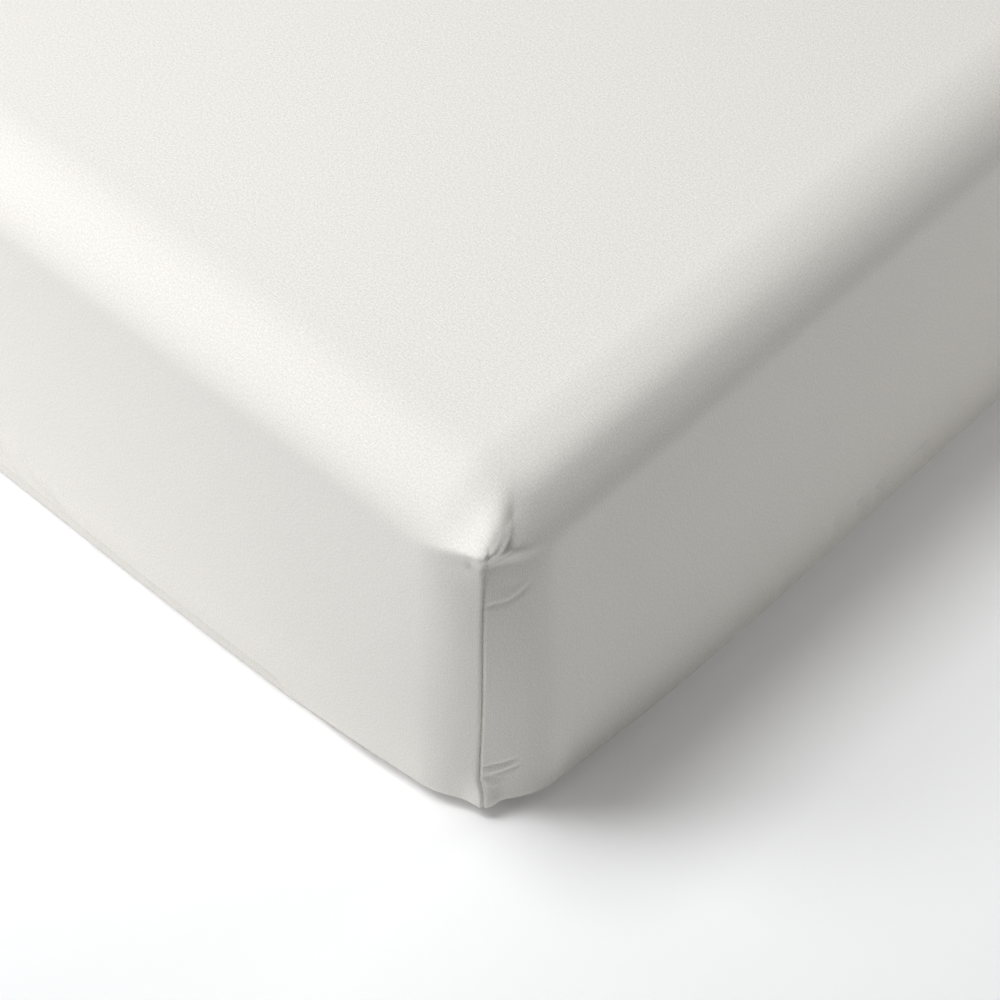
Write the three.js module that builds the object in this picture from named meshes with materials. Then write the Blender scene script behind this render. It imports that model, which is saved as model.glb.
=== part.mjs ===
// A cotton fitted sheet stretched over a plain single mattress that lies on the floor.
// Millimetres, +Z up. X runs across the mattress and Y along it. The origin is on the floor under its middle.
// The sheet is one cloth. Its corners are cut out and sewn, so each corner has one upright seam, and its edge
// is drawn in under the mattress. Halfway along the two short sides the hem stops just above the floor.
import * as THREE from "three";
import { ParametricGeometry } from "three/addons/geometries/ParametricGeometry.js";
import { mergeGeometries, mergeVertices } from "three/addons/utils/BufferGeometryUtils.js";

// Driving dimensions of the dressed mattress, measured over the cloth
const WIDTH = 900;
const LENGTH = 2000;
const DEPTH = 250;
const CLOTH = 1.5;
const TOP_ROUND = 41;
const FOOT_ROUND = 15;

// Corners: plan radius just under the top and at the foot, and how far the drawn hem pulls a corner's foot in
const CORNER_UPPER = 45;
const CORNER_LOWER = 52;
const CORNER_TUCKED = 10;
const PULL = 10;
const PULL_REACH = 98;

// The top fold drops at a corner. These are the depths at which the cloth below it settles again, and the
// distances from the seam over which it is taken up, the seam's lean dies out and the ear stays square.
const SETTLE_FROM = 50;
const SETTLE_OVER = 150;
const GATHER_REACH = 60;
const LEAN_REACH = 120;
const EAR_REACH = 15;

// Seam: the sewn edge stands out a little along the corner, and more in a nib at the foot
const SEAM_RISE = 1.6;
const SEAM_REACH = 7;
const SEAM_RISEN_AT = 30;
const NIB_RISE = 3;
const NIB_REACH = 16;
const NIB_BELOW = 6;

// Hem: how far the cloth goes on past the straight part of the side, at a corner and halfway along each side
const HEM_AT_CORNER = 46;
const HEM_MID_LONG = 36;
const HEM_MID_SHORT = 8;
const HEM_TURN_FROM = 155;
const HEM_TURN_LENGTH = 85;

// Mattress inside the cloth
const GAP_TOP = 0.3;
const GAP_FLOOR = 0.3;
const GAP_SIDE = 1;
const PAD_TOP_ROUND = 44;
const PAD_FOOT_ROUND = 26;
const PAD_CORNER_UPPER = 56;
const PAD_CORNER_LOWER = 64;
const PAD_PULL = 12;
const PAD_FOOT_INSET = 80;
const PAD_FOOT_SLOPE = 40;
// Where its outline and its levels are cut: steps round a corner and past it, and round the top and foot
const PAD_TURNS = [45, 30, 15];
const PAD_PASTS = [0, 45, 100, 160, 240];
const PAD_TOP_STEPS = [0, 22.5, 45, 67.5, 90];
const PAD_SIDE_SHARES = [0.35, 0.7];
const PAD_FOOT_STEPS = [0, 30, 60, 90];

const HALF_ARC = (TOP_ROUND * Math.PI) / 4;
const SIDE_END = HALF_ARC + DEPTH - TOP_ROUND - FOOT_ROUND;
const FOOT_END = SIDE_END + (FOOT_ROUND * Math.PI) / 2;
// A rounded corner's path is shorter than a sharp one's: each half by this share of its radius
const ARC_SHARE = 1 - Math.PI / 4;
const FLAT_HALF_WIDTH = WIDTH / 2 - ARC_SHARE * TOP_ROUND;
const FLAT_HALF_LENGTH = LENGTH / 2 - ARC_SHARE * TOP_ROUND;

// The four sides, in order round the mattress. A side runs from its start corner to its end corner.
const SIDES = [
  { name: "front", out: [0, -1], run: [1, 0], halfRun: WIDTH / 2, halfOut: LENGTH / 2, hem: HEM_MID_SHORT },
  { name: "right", out: [1, 0], run: [0, 1], halfRun: LENGTH / 2, halfOut: WIDTH / 2, hem: HEM_MID_LONG },
  { name: "back", out: [0, 1], run: [-1, 0], halfRun: WIDTH / 2, halfOut: LENGTH / 2, hem: HEM_MID_SHORT },
  { name: "left", out: [-1, 0], run: [0, -1], halfRun: LENGTH / 2, halfOut: WIDTH / 2, hem: HEM_MID_LONG },
];

// How far the foot of each corner's seam strays onto the side before it
const SEAM_LEAN = { front: 5, right: -3, back: 2, left: -2 };

// Distances from a corner seam at which the cloth is cut into strips, and depths below a side's top fold
const NEAR_SEAM = [0, 5, 11, 18, 25, HALF_ARC, 45, 65, 95, 126, 150, 220];
const ACROSS = [...NEAR_SEAM, FLAT_HALF_WIDTH];
const ALONG = [...NEAR_SEAM, 400, 700, FLAT_HALF_LENGTH];
const DOWN = [0, 5, 11, 18, 25, HALF_ARC, 50, 80, 115, 150, 185, 210, SIDE_END];
const FOOT_ROWS = 3;
const UNDER_ROWS = 2;
const LEAST_UNDER = 4;

// Folds and creases in the taut cloth. A row goes from one place to another. A place is given as a distance
// along the side from a corner seam, at the side's start or its end, and a distance down from its top fold.
// Width is the half width, and height is outward.
const FOLDS = [
  // the ear's sharp fold, from the tip along the long side's top edge
  { side: "right", end: "start", from: [4, 3], to: [17, 0], width: 8, height: 1.2 },
  // the hollow under the ear, beside the seam
  { side: "right", end: "start", from: [5, 11], to: [4, 26], width: 5, height: -1 },
  // two creases that curve up from the seam
  { side: "right", end: "start", from: [3, 24], to: [12, 19], width: 4, height: -0.7 },
  { side: "right", end: "start", from: [6, 50], to: [21, 49], width: 5, height: -0.8 },
  // the bunch of creases beside the foot of the seam
  { side: "right", end: "start", from: [3, 185], to: [17, 190], width: 4, height: -1 },
  { side: "right", end: "start", from: [5, 193], to: [20, 199], width: 4, height: 0.8 },
  { side: "right", end: "start", from: [4, 203], to: [20, 208], width: 4, height: -1 },
  // the side's hollow and swell between the seam and the flat
  { side: "right", end: "start", from: [30, 40], to: [32, 190], width: 14, height: -0.8 },
  { side: "front", end: "end", from: [22, 40], to: [24, 200], width: 10, height: 0.7 },
  // pull folds above the short side's hem, aimed down towards the seam
  { side: "front", end: "end", from: [352, 190], to: [330, 212], width: 7, height: 1.2 },
  { side: "front", end: "end", from: [330, 186], to: [300, 214], width: 7, height: 1.1 },
  { side: "front", end: "end", from: [342, 198], to: [318, 216], width: 6, height: -0.6 },
  // the same kinds of fold at the corners that are out of sight
  { side: "right", end: "end", from: [4, 3], to: [15, 0], width: 8, height: 1 },
  { side: "right", end: "end", from: [4, 190], to: [18, 196], width: 4, height: -0.9 },
  { side: "back", end: "start", from: [330, 188], to: [304, 212], width: 7, height: 1.1 },
  { side: "back", end: "end", from: [5, 52], to: [20, 48], width: 5, height: -0.8 },
  { side: "left", end: "start", from: [4, 3], to: [16, 0], width: 8, height: 1.2 },
  { side: "left", end: "start", from: [4, 200], to: [20, 206], width: 4, height: -1 },
  { side: "left", end: "end", from: [4, 3], to: [17, 0], width: 8, height: 1.1 },
  { side: "front", end: "start", from: [338, 190], to: [310, 214], width: 7, height: 1 },
];
const FOLD_STEPS = 3;

function smooth(share) {
  const t = Math.min(Math.max(share, 0), 1);
  return t * t * (3 - 2 * t);
}

function mix(a, b, share) {
  return a + (b - a) * share;
}

// Angle of the top rounding at a distance down from the fold: 0 on the top face, a quarter turn on the side
function roundAngle(down) {
  return Math.min(Math.max((down + HALF_ARC) / TOP_ROUND, 0), Math.PI / 2);
}

// The side's section, from the top face round to the floor: inset from the side's plane, and height
function section(down) {
  const angle = roundAngle(down);
  const foot = Math.min(Math.max((down - SIDE_END) / FOOT_ROUND, 0), Math.PI / 2);
  const onTop = Math.max(-HALF_ARC - down, 0);
  const onSide = Math.min(Math.max(down - HALF_ARC, 0), SIDE_END - HALF_ARC);
  const under = Math.max(down - FOOT_END, 0);
  return {
    inset: onTop + TOP_ROUND * (1 - Math.sin(angle)) + FOOT_ROUND * (1 - Math.cos(foot)) + under,
    height: DEPTH - TOP_ROUND * (1 - Math.cos(angle)) - onSide - FOOT_ROUND * Math.sin(foot),
  };
}

function cornerRadius(down, inset) {
  const above = smooth(down / HALF_ARC) * CORNER_UPPER;
  const below = smooth((down - HALF_ARC) / (SIDE_END - HALF_ARC)) * (CORNER_LOWER - CORNER_UPPER);
  if (down <= SIDE_END) return above + below;
  return Math.max(above + below - inset, CORNER_TUCKED);
}

// A place on a side's cloth near a corner, by its distances along from the seam and down from the top fold.
// It gives how far the place lies along the side from the side's sharp corner, its inset from the side's
// plane, and its height. The seam's foot leans towards this side where lean is positive.
function sidePlace(along, down, lean) {
  const fold = section(-along);
  const drop = DEPTH - fold.height;
  const settled = smooth(down / HALF_ARC);
  const taken = settled * (1 - smooth((down - SETTLE_FROM) / SETTLE_OVER));
  const at = section(down + taken * drop);
  const radius = Math.max(cornerRadius(down, section(down).inset), 1e-6);
  const gathered = (at.inset + ARC_SHARE * (radius - TOP_ROUND)) * (1 - Math.exp(-along / GATHER_REACH));
  const leaning = lean * smooth(down / DEPTH) * Math.exp(-along / LEAN_REACH);
  const arc = along - gathered + leaning;
  const turn = Math.max(Math.PI / 4 - arc / radius, 0);
  const past = Math.max(arc - (Math.PI / 4) * radius, 0);
  const rounded = at.inset + radius * (1 - Math.sin(turn)) + past;
  const inset = at.inset + radius * (1 - Math.cos(turn));
  const seamInset = at.inset + radius * (1 - Math.cos(Math.PI / 4 + leaning / radius));
  const square = fold.inset + (seamInset - section(0).inset) * Math.exp(-along / EAR_REACH);
  const drawn = PULL * smooth(down / DEPTH);
  const nib = NIB_RISE * Math.exp(-(((down - SIDE_END - NIB_BELOW) / NIB_REACH) ** 2));
  const risen = (SEAM_RISE * smooth(down / SEAM_RISEN_AT) + nib) * Math.exp(-along / SEAM_REACH);
  return {
    along: mix(square, rounded, settled) + drawn * Math.exp(-((2 * along / PULL_REACH) ** 2)) - risen,
    inset: inset + drawn * Math.exp(-((along / PULL_REACH) ** 2)) - risen,
    height: at.height - (1 - settled) * drop,
  };
}

// A place on a side in the part's frame, by its distance from the side's start or end corner
function sidePoint(side, end, along, down) {
  const toEnd = end === "end";
  const before = SIDES[(SIDES.indexOf(side) + SIDES.length - 1) % SIDES.length];
  const lean = toEnd ? SEAM_LEAN[side.name] : -SEAM_LEAN[before.name];
  const place = sidePlace(along, down, lean);
  const run = (toEnd ? 1 : -1) * (side.halfRun - place.along);
  const out = side.halfOut - place.inset;
  return new THREE.Vector3(
    side.run[0] * run + side.out[0] * out,
    side.run[1] * run + side.out[1] * out,
    place.height,
  );
}

// A place on the top, by its distances in from the two nearest top folds
function topPoint(inX, inY, signX, signY) {
  const acrossFold = section(-inX);
  const alongFold = section(-inY);
  return new THREE.Vector3(
    signX * (WIDTH / 2 - acrossFold.inset),
    signY * (LENGTH / 2 - alongFold.inset),
    acrossFold.height + alongFold.height - DEPTH,
  );
}

const folds = FOLDS.map((row) => {
  const side = SIDES.find((candidate) => candidate.name === row.side);
  const points = [];
  for (let step = 0; step <= FOLD_STEPS; step++) {
    const share = step / FOLD_STEPS;
    const along = mix(row.from[0], row.to[0], share);
    const down = mix(row.from[1], row.to[1], share);
    points.push(sidePoint(side, row.end, along, down));
  }
  return { points, width: row.width, height: row.height };
});

// The block that the cloth's roundings start from: folds rise straight away from it
const CORE = new THREE.Box3(
  new THREE.Vector3(-WIDTH / 2 + TOP_ROUND, -LENGTH / 2 + TOP_ROUND, TOP_ROUND),
  new THREE.Vector3(WIDTH / 2 - TOP_ROUND, LENGTH / 2 - TOP_ROUND, DEPTH - TOP_ROUND),
);

// Moves a place on the taut cloth out or in, where a fold passes near it
function withFolds(point) {
  const outward = point.clone().sub(CORE.clampPoint(point, new THREE.Vector3())).normalize();
  const nearest = new THREE.Vector3();
  let height = 0;
  for (const fold of folds) {
    let away = Infinity;
    for (let step = 0; step < FOLD_STEPS; step++) {
      new THREE.Line3(fold.points[step], fold.points[step + 1]).closestPointToPoint(point, true, nearest);
      away = Math.min(away, nearest.distanceTo(point));
    }
    height += fold.height * Math.exp(-((away / fold.width) ** 2));
  }
  return point.clone().addScaledVector(outward, height);
}

// The same place reached from two panels has to be the same number
function snapped(point) {
  return point.set(...point.toArray().map((value) => Math.round(value * 1000) / 1000));
}

// A panel with its own columns and rows, as a parametric surface. It faces the way that a right hand's thumb
// points when its fingers turn from the direction of the columns to that of the rows.
function panel(columns, rows, place) {
  const bent = (u, v, target) => target.copy(place(Math.round(u * columns), Math.round(v * rows)));
  return new ParametricGeometry(bent, columns, rows);
}

// Distances from both ends of a side: each strip as its nearer end and its distance from that end's seam
function strips(distances) {
  const toMiddle = distances.map((along) => ({ end: "start", sign: -1, along }));
  const fromMiddle = distances.slice(0, -1).map((along) => ({ end: "end", sign: 1, along }));
  return [...toMiddle, ...fromMiddle.reverse()];
}

function topPanel() {
  const across = strips(ACROSS);
  const along = strips(ALONG);
  return panel(across.length - 1, along.length - 1, (i, j) =>
    snapped(withFolds(topPoint(across[i].along, along[j].along, across[i].sign, along[j].sign))),
  );
}

// How far down a side the hem's edge lies, at a distance from the nearer corner seam
function hemDown(side, along) {
  const turned = smooth((HEM_TURN_FROM - along) / HEM_TURN_LENGTH);
  return SIDE_END + mix(side.hem, HEM_AT_CORNER, turned);
}

// The depths of a side's rows at one distance from the seam: down the side, round the foot, and on to the hem
function rowsAt(side, along) {
  const hem = hemDown(side, along);
  const roundEnd = Math.min(FOOT_END, hem - LEAST_UNDER);
  const foot = Array.from({ length: FOOT_ROWS }, (_, k) => mix(SIDE_END, roundEnd, (k + 1) / FOOT_ROWS));
  const under = Array.from({ length: UNDER_ROWS }, (_, k) => mix(roundEnd, hem, (k + 1) / UNDER_ROWS));
  return [...DOWN, ...foot, ...under];
}

function sidePanel(side) {
  const columns = strips(side.run[0] === 0 ? ALONG : ACROSS).reverse();
  const rows = columns.map((strip) => rowsAt(side, strip.along));
  return panel(columns.length - 1, rows[0].length - 1, (i, j) => {
    const strip = columns[i];
    const point = sidePoint(side, strip.end, strip.along, rows[i][j]);
    if (i === (columns.length - 1) / 2) {
      point.x *= Math.abs(side.out[0]);
      point.y *= Math.abs(side.out[1]);
    }
    return snapped(withFolds(point));
  });
}

// One skin from several panels that meet along their edges
function sewn(panels) {
  panels.forEach((piece) => {
    piece.deleteAttribute("normal");
    piece.deleteAttribute("uv");
  });
  return mergeVertices(mergeGeometries(panels), 1e-4);
}

// A solid sheet from an open skin: the skin, its copy one thickness further in, and a wall round its edge
function thickened(skin, thickness) {
  skin.computeVertexNormals();
  const count = skin.attributes.position.count;
  const point = new THREE.Vector3();
  const normal = new THREE.Vector3();
  const places = [...skin.attributes.position.array];
  for (let i = 0; i < count; i++) {
    point.fromBufferAttribute(skin.attributes.position, i);
    normal.fromBufferAttribute(skin.attributes.normal, i);
    places.push(...point.addScaledVector(normal, -thickness).toArray());
  }
  const corners = [...skin.index.array];
  const edges = new Set();
  const triangles = [];
  for (let i = 0; i < corners.length; i += 3) {
    const [a, b, c] = corners.slice(i, i + 3);
    triangles.push(a, b, c, a + count, c + count, b + count);
    edges.add(`${a} ${b}`).add(`${b} ${c}`).add(`${c} ${a}`);
  }
  for (const edge of edges) {
    const [a, b] = edge.split(" ").map(Number);
    if (!edges.has(`${b} ${a}`)) triangles.push(b, a, b + count, a, a + count, b + count);
  }
  const solid = new THREE.BufferGeometry();
  solid.setAttribute("position", new THREE.Float32BufferAttribute(places, 3));
  return solid.setIndex(triangles);
}

function fittedSheet() {
  const skin = sewn([topPanel(), ...SIDES.map(sidePanel)]);
  const mesh = new THREE.Mesh(
    thickened(skin, CLOTH),
    new THREE.MeshStandardMaterial({ color: 0xf1eee7, roughness: 0.92, metalness: 0 }),
  );
  mesh.name = "fitted_sheet";
  return mesh;
}

// One level of the mattress: a rectangle with round corners, which the drawn sheet pulls in near the floor
function padRing(inset, radius, height) {
  const drawn = PAD_PULL * smooth((DEPTH - height) / DEPTH);
  const points = [];
  const sideGap = CLOTH + GAP_SIDE;
  const place = (side, sign, turn, past) => {
    const along = inset + radius * (1 - Math.sin(turn)) + past;
    const fromSeam = radius * (Math.PI / 4 - turn) + past;
    const pulledAlong = along + drawn * Math.exp(-((2 * fromSeam / PULL_REACH) ** 2));
    const pulledIn = drawn * Math.exp(-((fromSeam / PULL_REACH) ** 2));
    const run = sign * (side.halfRun - sideGap - pulledAlong);
    const out = side.halfOut - sideGap - inset - radius * (1 - Math.cos(turn)) - pulledIn;
    const x = side.run[0] * run + side.out[0] * out;
    const y = side.run[1] * run + side.out[1] * out;
    points.push(new THREE.Vector3(x, y, height));
  };
  const turns = PAD_TURNS.map((degrees) => THREE.MathUtils.degToRad(degrees));
  for (const side of SIDES) {
    turns.forEach((turn) => place(side, -1, turn, 0));
    PAD_PASTS.forEach((past) => place(side, -1, 0, past));
    PAD_PASTS.toReversed().forEach((past) => place(side, 1, 0, past));
    turns.slice(1).reverse().forEach((turn) => place(side, 1, turn, 0));
  }
  return points;
}

function mattressRings() {
  const top = DEPTH - CLOTH - GAP_TOP;
  const base = CLOTH + GAP_FLOOR;
  const rings = [];
  for (const degrees of PAD_TOP_STEPS) {
    const angle = THREE.MathUtils.degToRad(degrees);
    const inset = PAD_TOP_ROUND * (1 - Math.sin(angle));
    const height = top - PAD_TOP_ROUND * (1 - Math.cos(angle));
    rings.push(padRing(inset, PAD_CORNER_UPPER - inset, height));
  }
  for (const share of PAD_SIDE_SHARES) {
    const height = mix(top - PAD_TOP_ROUND, base + PAD_FOOT_ROUND, share);
    rings.push(padRing(0, mix(PAD_CORNER_UPPER, PAD_CORNER_LOWER, share), height));
  }
  for (const degrees of PAD_FOOT_STEPS) {
    const angle = THREE.MathUtils.degToRad(degrees);
    const inset = PAD_FOOT_ROUND * (1 - Math.cos(angle));
    const height = base + PAD_FOOT_ROUND * (1 - Math.sin(angle));
    rings.push(padRing(inset, PAD_CORNER_LOWER - inset, height));
  }
  rings.push(padRing(PAD_FOOT_INSET, CORNER_TUCKED, base));
  rings.push(padRing(PAD_FOOT_INSET + PAD_FOOT_SLOPE, CORNER_TUCKED, 0));
  return rings;
}

// A flat face that closes the first or last ring
function cap(ring, facingUp) {
  const outline = ring.map((point) => new THREE.Vector2(point.x, point.y));
  const face = new THREE.ShapeGeometry(new THREE.Shape(outline));
  const corners = face.index.array;
  if (!facingUp) corners.reverse();
  return face.translate(0, 0, ring[0].z);
}

function mattress() {
  const rings = mattressRings();
  const count = rings[0].length;
  const wall = panel(count, rings.length - 1, (i, j) => rings[j][(count - i) % count]);
  const mesh = new THREE.Mesh(
    sewn([wall, cap(rings[0], true), cap(rings.at(-1), false)]),
    new THREE.MeshStandardMaterial({ color: 0xe6e4df, roughness: 0.95, metalness: 0 }),
  );
  mesh.name = "mattress";
  return mesh;
}

const group = new THREE.Group();
group.add(fittedSheet(), mattress());

export default group;
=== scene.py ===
import math

import bmesh
import bpy
import numpy as np
from mathutils import Matrix, Vector


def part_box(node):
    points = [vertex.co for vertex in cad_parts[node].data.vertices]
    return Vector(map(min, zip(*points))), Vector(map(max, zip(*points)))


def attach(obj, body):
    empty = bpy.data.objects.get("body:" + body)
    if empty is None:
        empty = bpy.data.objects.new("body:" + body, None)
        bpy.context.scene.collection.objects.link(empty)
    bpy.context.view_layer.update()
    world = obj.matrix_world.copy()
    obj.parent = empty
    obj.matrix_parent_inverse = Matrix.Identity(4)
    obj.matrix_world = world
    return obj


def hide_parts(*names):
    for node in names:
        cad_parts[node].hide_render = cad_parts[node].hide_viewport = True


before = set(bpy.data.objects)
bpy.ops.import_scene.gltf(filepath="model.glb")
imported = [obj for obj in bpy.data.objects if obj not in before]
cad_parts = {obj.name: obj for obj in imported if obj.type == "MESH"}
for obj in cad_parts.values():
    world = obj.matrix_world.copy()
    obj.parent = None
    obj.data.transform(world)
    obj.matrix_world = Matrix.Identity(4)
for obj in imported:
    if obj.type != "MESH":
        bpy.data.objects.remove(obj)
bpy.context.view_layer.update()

bl_info = {
    "name": "Fitted Sheet on a Mattress",
    "version": (1, 0, 0),
    "blender": (4, 5, 0),
    "location": "3D Viewport > Sidebar > Bedding",
    "description": "Builds a cotton fitted sheet over a single mattress, with its seams, hem and stitches",
    "category": "Object",
}

SHEET_LOW, SHEET_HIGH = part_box("fitted_sheet")
SHEET_SIZE = SHEET_HIGH - SHEET_LOW
MM = 0.001

# The four sides in order round the mattress: the way each faces, and the way it runs from start to end
SIDES = (
    ("front", (0, -1), (1, 0)),
    ("right", (1, 0), (0, 1)),
    ("back", (0, 1), (-1, 0)),
    ("left", (-1, 0), (0, -1)),
)
SEAM_LEAN = {"front": 5 * MM, "right": -3 * MM, "back": 2 * MM, "left": -2 * MM}

# Folds and creases in the taut cloth: side, the end of it that distances are measured from, half width,
# height, and the places that the fold runs through, each along from the corner seam and down from the top
# fold, in millimetres
FOLDS = (
    # the notch under the ear's tip, beside the seam
    ("right", "start", 1.2, -1.7, ((2, 3), (1.7, 6), (1.3, 11), (0.9, 18), (0.5, 30))),
    # a small dent on the short side of the seam
    ("front", "end", 1.4, -0.6, ((7, 14), (6.7, 18), (6.5, 23))),
    ("front", "end", 1.2, 0.4, ((4.8, 6), (3.6, 10), (2.8, 15), (2.5, 20))),
    # creases that curve up from the seam
    ("right", "start", 1.0, -0.8, ((0.5, 19), (4.2, 15), (7, 14.5), (9.8, 12), (11.5, 10))),
    ("right", "start", 1.1, -0.45, ((6, 37), (9, 38.5), (14, 41), (19, 41.5))),
    ("right", "start", 1.3, -0.85, ((1, 46), (5.3, 48.5), (9.5, 51.5), (12.8, 51), (16, 50), (21, 46))),
    ("right", "start", 1.5, 0.25, ((6, 45), (10, 47), (14, 46.5), (19, 43))),
    # the bunch of creases beside the foot of the seam
    ("right", "start", 1.4, -0.75, ((1, 200.5), (4, 200), (8, 199), (12.5, 198), (18, 195))),
    ("right", "start", 1.2, 0.5, ((3, 204.5), (8, 203.5), (12.5, 202), (18, 199.5))),
    ("right", "start", 1.4, -0.75, ((5, 208.5), (8, 208), (12, 206.5), (16, 204), (21, 201))),
    ("right", "start", 1.2, -0.6, ((0.5, 207.5), (3, 209.5), (8.5, 211), (12, 211))),
    ("right", "start", 1.4, 0.6, ((2, 213.5), (6, 215), (11, 216))),
    ("right", "start", 1.3, -1.0, ((1.2, 212), (1.6, 220), (1.2, 230))),
    ("right", "start", 3.4, 0.9, ((5, 222), (5.5, 228), (5.5, 234))),
    ("front", "end", 1.4, -0.35, ((18, 219), (16, 222), (14, 224))),
    # the side's hollow and swell between the seam and the flat
    ("right", "start", 14, -0.8, ((30, 40), (31, 115), (32, 190))),
    ("front", "end", 15, -1.1, ((28, 45), (28, 120), (28, 205))),
    # pull folds above the short side's hem, aimed down towards the seam
    ("front", "end", 2.4, 1.5, ((352, 190), (341, 200), (330, 214))),
    ("front", "end", 2.6, 1.6, ((330, 188), (318, 198), (306, 206), (298, 217))),
    ("front", "end", 2.0, -1.1, ((345, 202), (336, 209), (322, 217))),
    ("front", "end", 2.2, -1.1, ((318, 205), (306, 211), (286, 219))),
    ("front", "end", 2.6, 0.8, ((296, 200), (282, 209), (268, 218))),
    # tugs above the long side's foot
    ("right", "start", 2.4, -0.45, ((248, 199), (251, 207), (253, 216))),
    ("right", "start", 2.6, -0.5, ((270, 203), (273, 212), (275, 224))),
    ("right", "start", 2.2, -0.45, ((286, 201), (288, 210), (289, 222))),
    ("right", "start", 2.6, -0.4, ((322, 205), (326, 214), (328, 224))),
    ("right", "start", 2.4, -0.4, ((210, 214), (213, 220), (214, 228))),
    # the same kinds of fold at the other corners
    ("right", "end", 4, 1.2, ((1, 1), (5, 2.5), (15, 0), (22, -4))),
    ("right", "end", 1.8, -0.7, ((4, 190), (11, 194), (18, 196))),
    ("back", "start", 3.5, 0.9, ((330, 188), (316, 200), (304, 213))),
    ("back", "start", 2.4, -0.6, ((2, 30), (8, 25), (14, 22))),
    ("back", "end", 2.2, -0.7, ((3, 52), (10, 51), (20, 47))),
    ("left", "start", 4, 1.3, ((1, 1), (5, 2.5), (16, 0), (24, -4))),
    ("left", "start", 1.8, -0.8, ((3, 200), (11, 204), (20, 206))),
    ("left", "end", 4, 1.2, ((1, 1), (5, 2.5), (17, 0), (24, -4))),
    ("left", "end", 2, -0.6, ((3, 60), (10, 60), (18, 56))),
    ("front", "start", 3.5, 0.9, ((338, 190), (322, 202), (310, 214))),
    ("front", "start", 2.4, -0.6, ((4, 45), (10, 44), (18, 40))),
)


class SheetSizes(bpy.types.PropertyGroup):
    """Sizes of the dressed mattress, measured over the cloth, and of the cloth and its sewing."""

    width: bpy.props.FloatProperty(
        name="Width", description="Across the dressed mattress", default=SHEET_SIZE.x, min=0.6,
        max=2, unit="LENGTH")
    length: bpy.props.FloatProperty(
        name="Length", description="Along the dressed mattress", default=SHEET_SIZE.y, min=1.5,
        max=2.4, unit="LENGTH")
    depth: bpy.props.FloatProperty(
        name="Depth", description="From the floor to the top", default=SHEET_SIZE.z, min=0.15,
        max=0.4, unit="LENGTH")
    top_round: bpy.props.FloatProperty(
        name="Top rounding", description="Radius of the top edge", default=0.041, min=0.02, max=0.08,
        unit="LENGTH")
    foot_round: bpy.props.FloatProperty(
        name="Foot rounding", description="Radius where the side turns under", default=0.015,
        min=0.005, max=0.03, unit="LENGTH")
    corner_upper: bpy.props.FloatProperty(
        name="Upper corner", description="Plan radius of a corner under the top", default=0.045,
        min=0.02, max=0.1, unit="LENGTH")
    corner_lower: bpy.props.FloatProperty(
        name="Lower corner", description="Plan radius of a corner at the foot", default=0.052,
        min=0.02, max=0.1, unit="LENGTH")
    pull: bpy.props.FloatProperty(
        name="Corner pull", description="How far the drawn hem pulls a corner's foot in",
        default=0.010, min=0, max=0.03, unit="LENGTH")
    cloth: bpy.props.FloatProperty(
        name="Cloth", description="Thickness of the cloth", default=0.0004, min=0.0002, max=0.002,
        unit="LENGTH")
    hem: bpy.props.FloatProperty(
        name="Hem", description="Height of the turned-up hem", default=0.010, min=0.005, max=0.03,
        unit="LENGTH")
    hem_at_corner: bpy.props.FloatProperty(
        name="Hem at a corner", description="Cloth past the side's straight part at a corner",
        default=0.046, min=0.01, max=0.1, unit="LENGTH")
    hem_mid_long: bpy.props.FloatProperty(
        name="Hem along a long side",
        description="Cloth past the straight part, halfway along a long side", default=0.036,
        min=0.005, max=0.1, unit="LENGTH")
    hem_mid_short: bpy.props.FloatProperty(
        name="Hem along a short side",
        description="Cloth past the straight part, halfway along a short side", default=0.010,
        min=0.005, max=0.1, unit="LENGTH")
    seam_stitch: bpy.props.FloatProperty(
        name="Seam stitch", description="Distance from stitch to stitch in a corner seam",
        default=0.0031, min=0.002, max=0.006, unit="LENGTH")
    hem_stitch: bpy.props.FloatProperty(
        name="Hem stitch", description="Distance from stitch to stitch in the hem", default=0.0042,
        min=0.002, max=0.008, unit="LENGTH")


class ClothLooks(bpy.types.PropertyGroup):
    """Colours and weave of the sheet, its thread and the mattress cover."""

    cotton: bpy.props.FloatVectorProperty(
        name="Cotton", description="Colour of the sheet", default=(0.865, 0.838, 0.79), min=0, max=1,
        subtype="COLOR")
    thread: bpy.props.FloatVectorProperty(
        name="Thread", description="Colour of the sewing thread", default=(0.84, 0.82, 0.77), min=0,
        max=1, subtype="COLOR")
    ticking: bpy.props.FloatVectorProperty(
        name="Ticking", description="Colour of the mattress cover", default=(0.80, 0.79, 0.76),
        min=0, max=1, subtype="COLOR")
    yarn_pitch: bpy.props.FloatProperty(
        name="Yarn pitch", description="Distance from yarn to yarn in the cotton", default=0.0011,
        min=0.0002, max=0.003, precision=5, unit="LENGTH")
    # The yarns' relief sets both their bump and the strength of the weave's painted shade and highlight
    yarn_relief: bpy.props.FloatProperty(
        name="Yarn relief", description="How strongly the yarns stand out", default=0.8, min=0,
        max=1, subtype="FACTOR")


class RoomSettings(bpy.types.PropertyGroup):
    """The plain floor's colour and the camera's place."""

    floor: bpy.props.FloatVectorProperty(
        name="Floor", description="Colour of the floor", default=(0.92, 0.92, 0.925), min=0, max=1,
        subtype="COLOR")
    azimuth: bpy.props.FloatProperty(
        name="Azimuth", description="Direction that the camera looks from",
        default=math.radians(42.98), unit="ROTATION")
    elevation: bpy.props.FloatProperty(
        name="Elevation", description="Angle that the camera looks down at",
        default=math.radians(50.44), unit="ROTATION")
    distance: bpy.props.FloatProperty(
        name="Distance", description="From the camera to the corner", default=1.2384, min=0.3, max=5,
        unit="LENGTH")
    lens: bpy.props.FloatProperty(
        name="Lens", description="Focal length on a 36 mm frame", default=108, min=20, max=300,
        unit="CAMERA")


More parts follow.
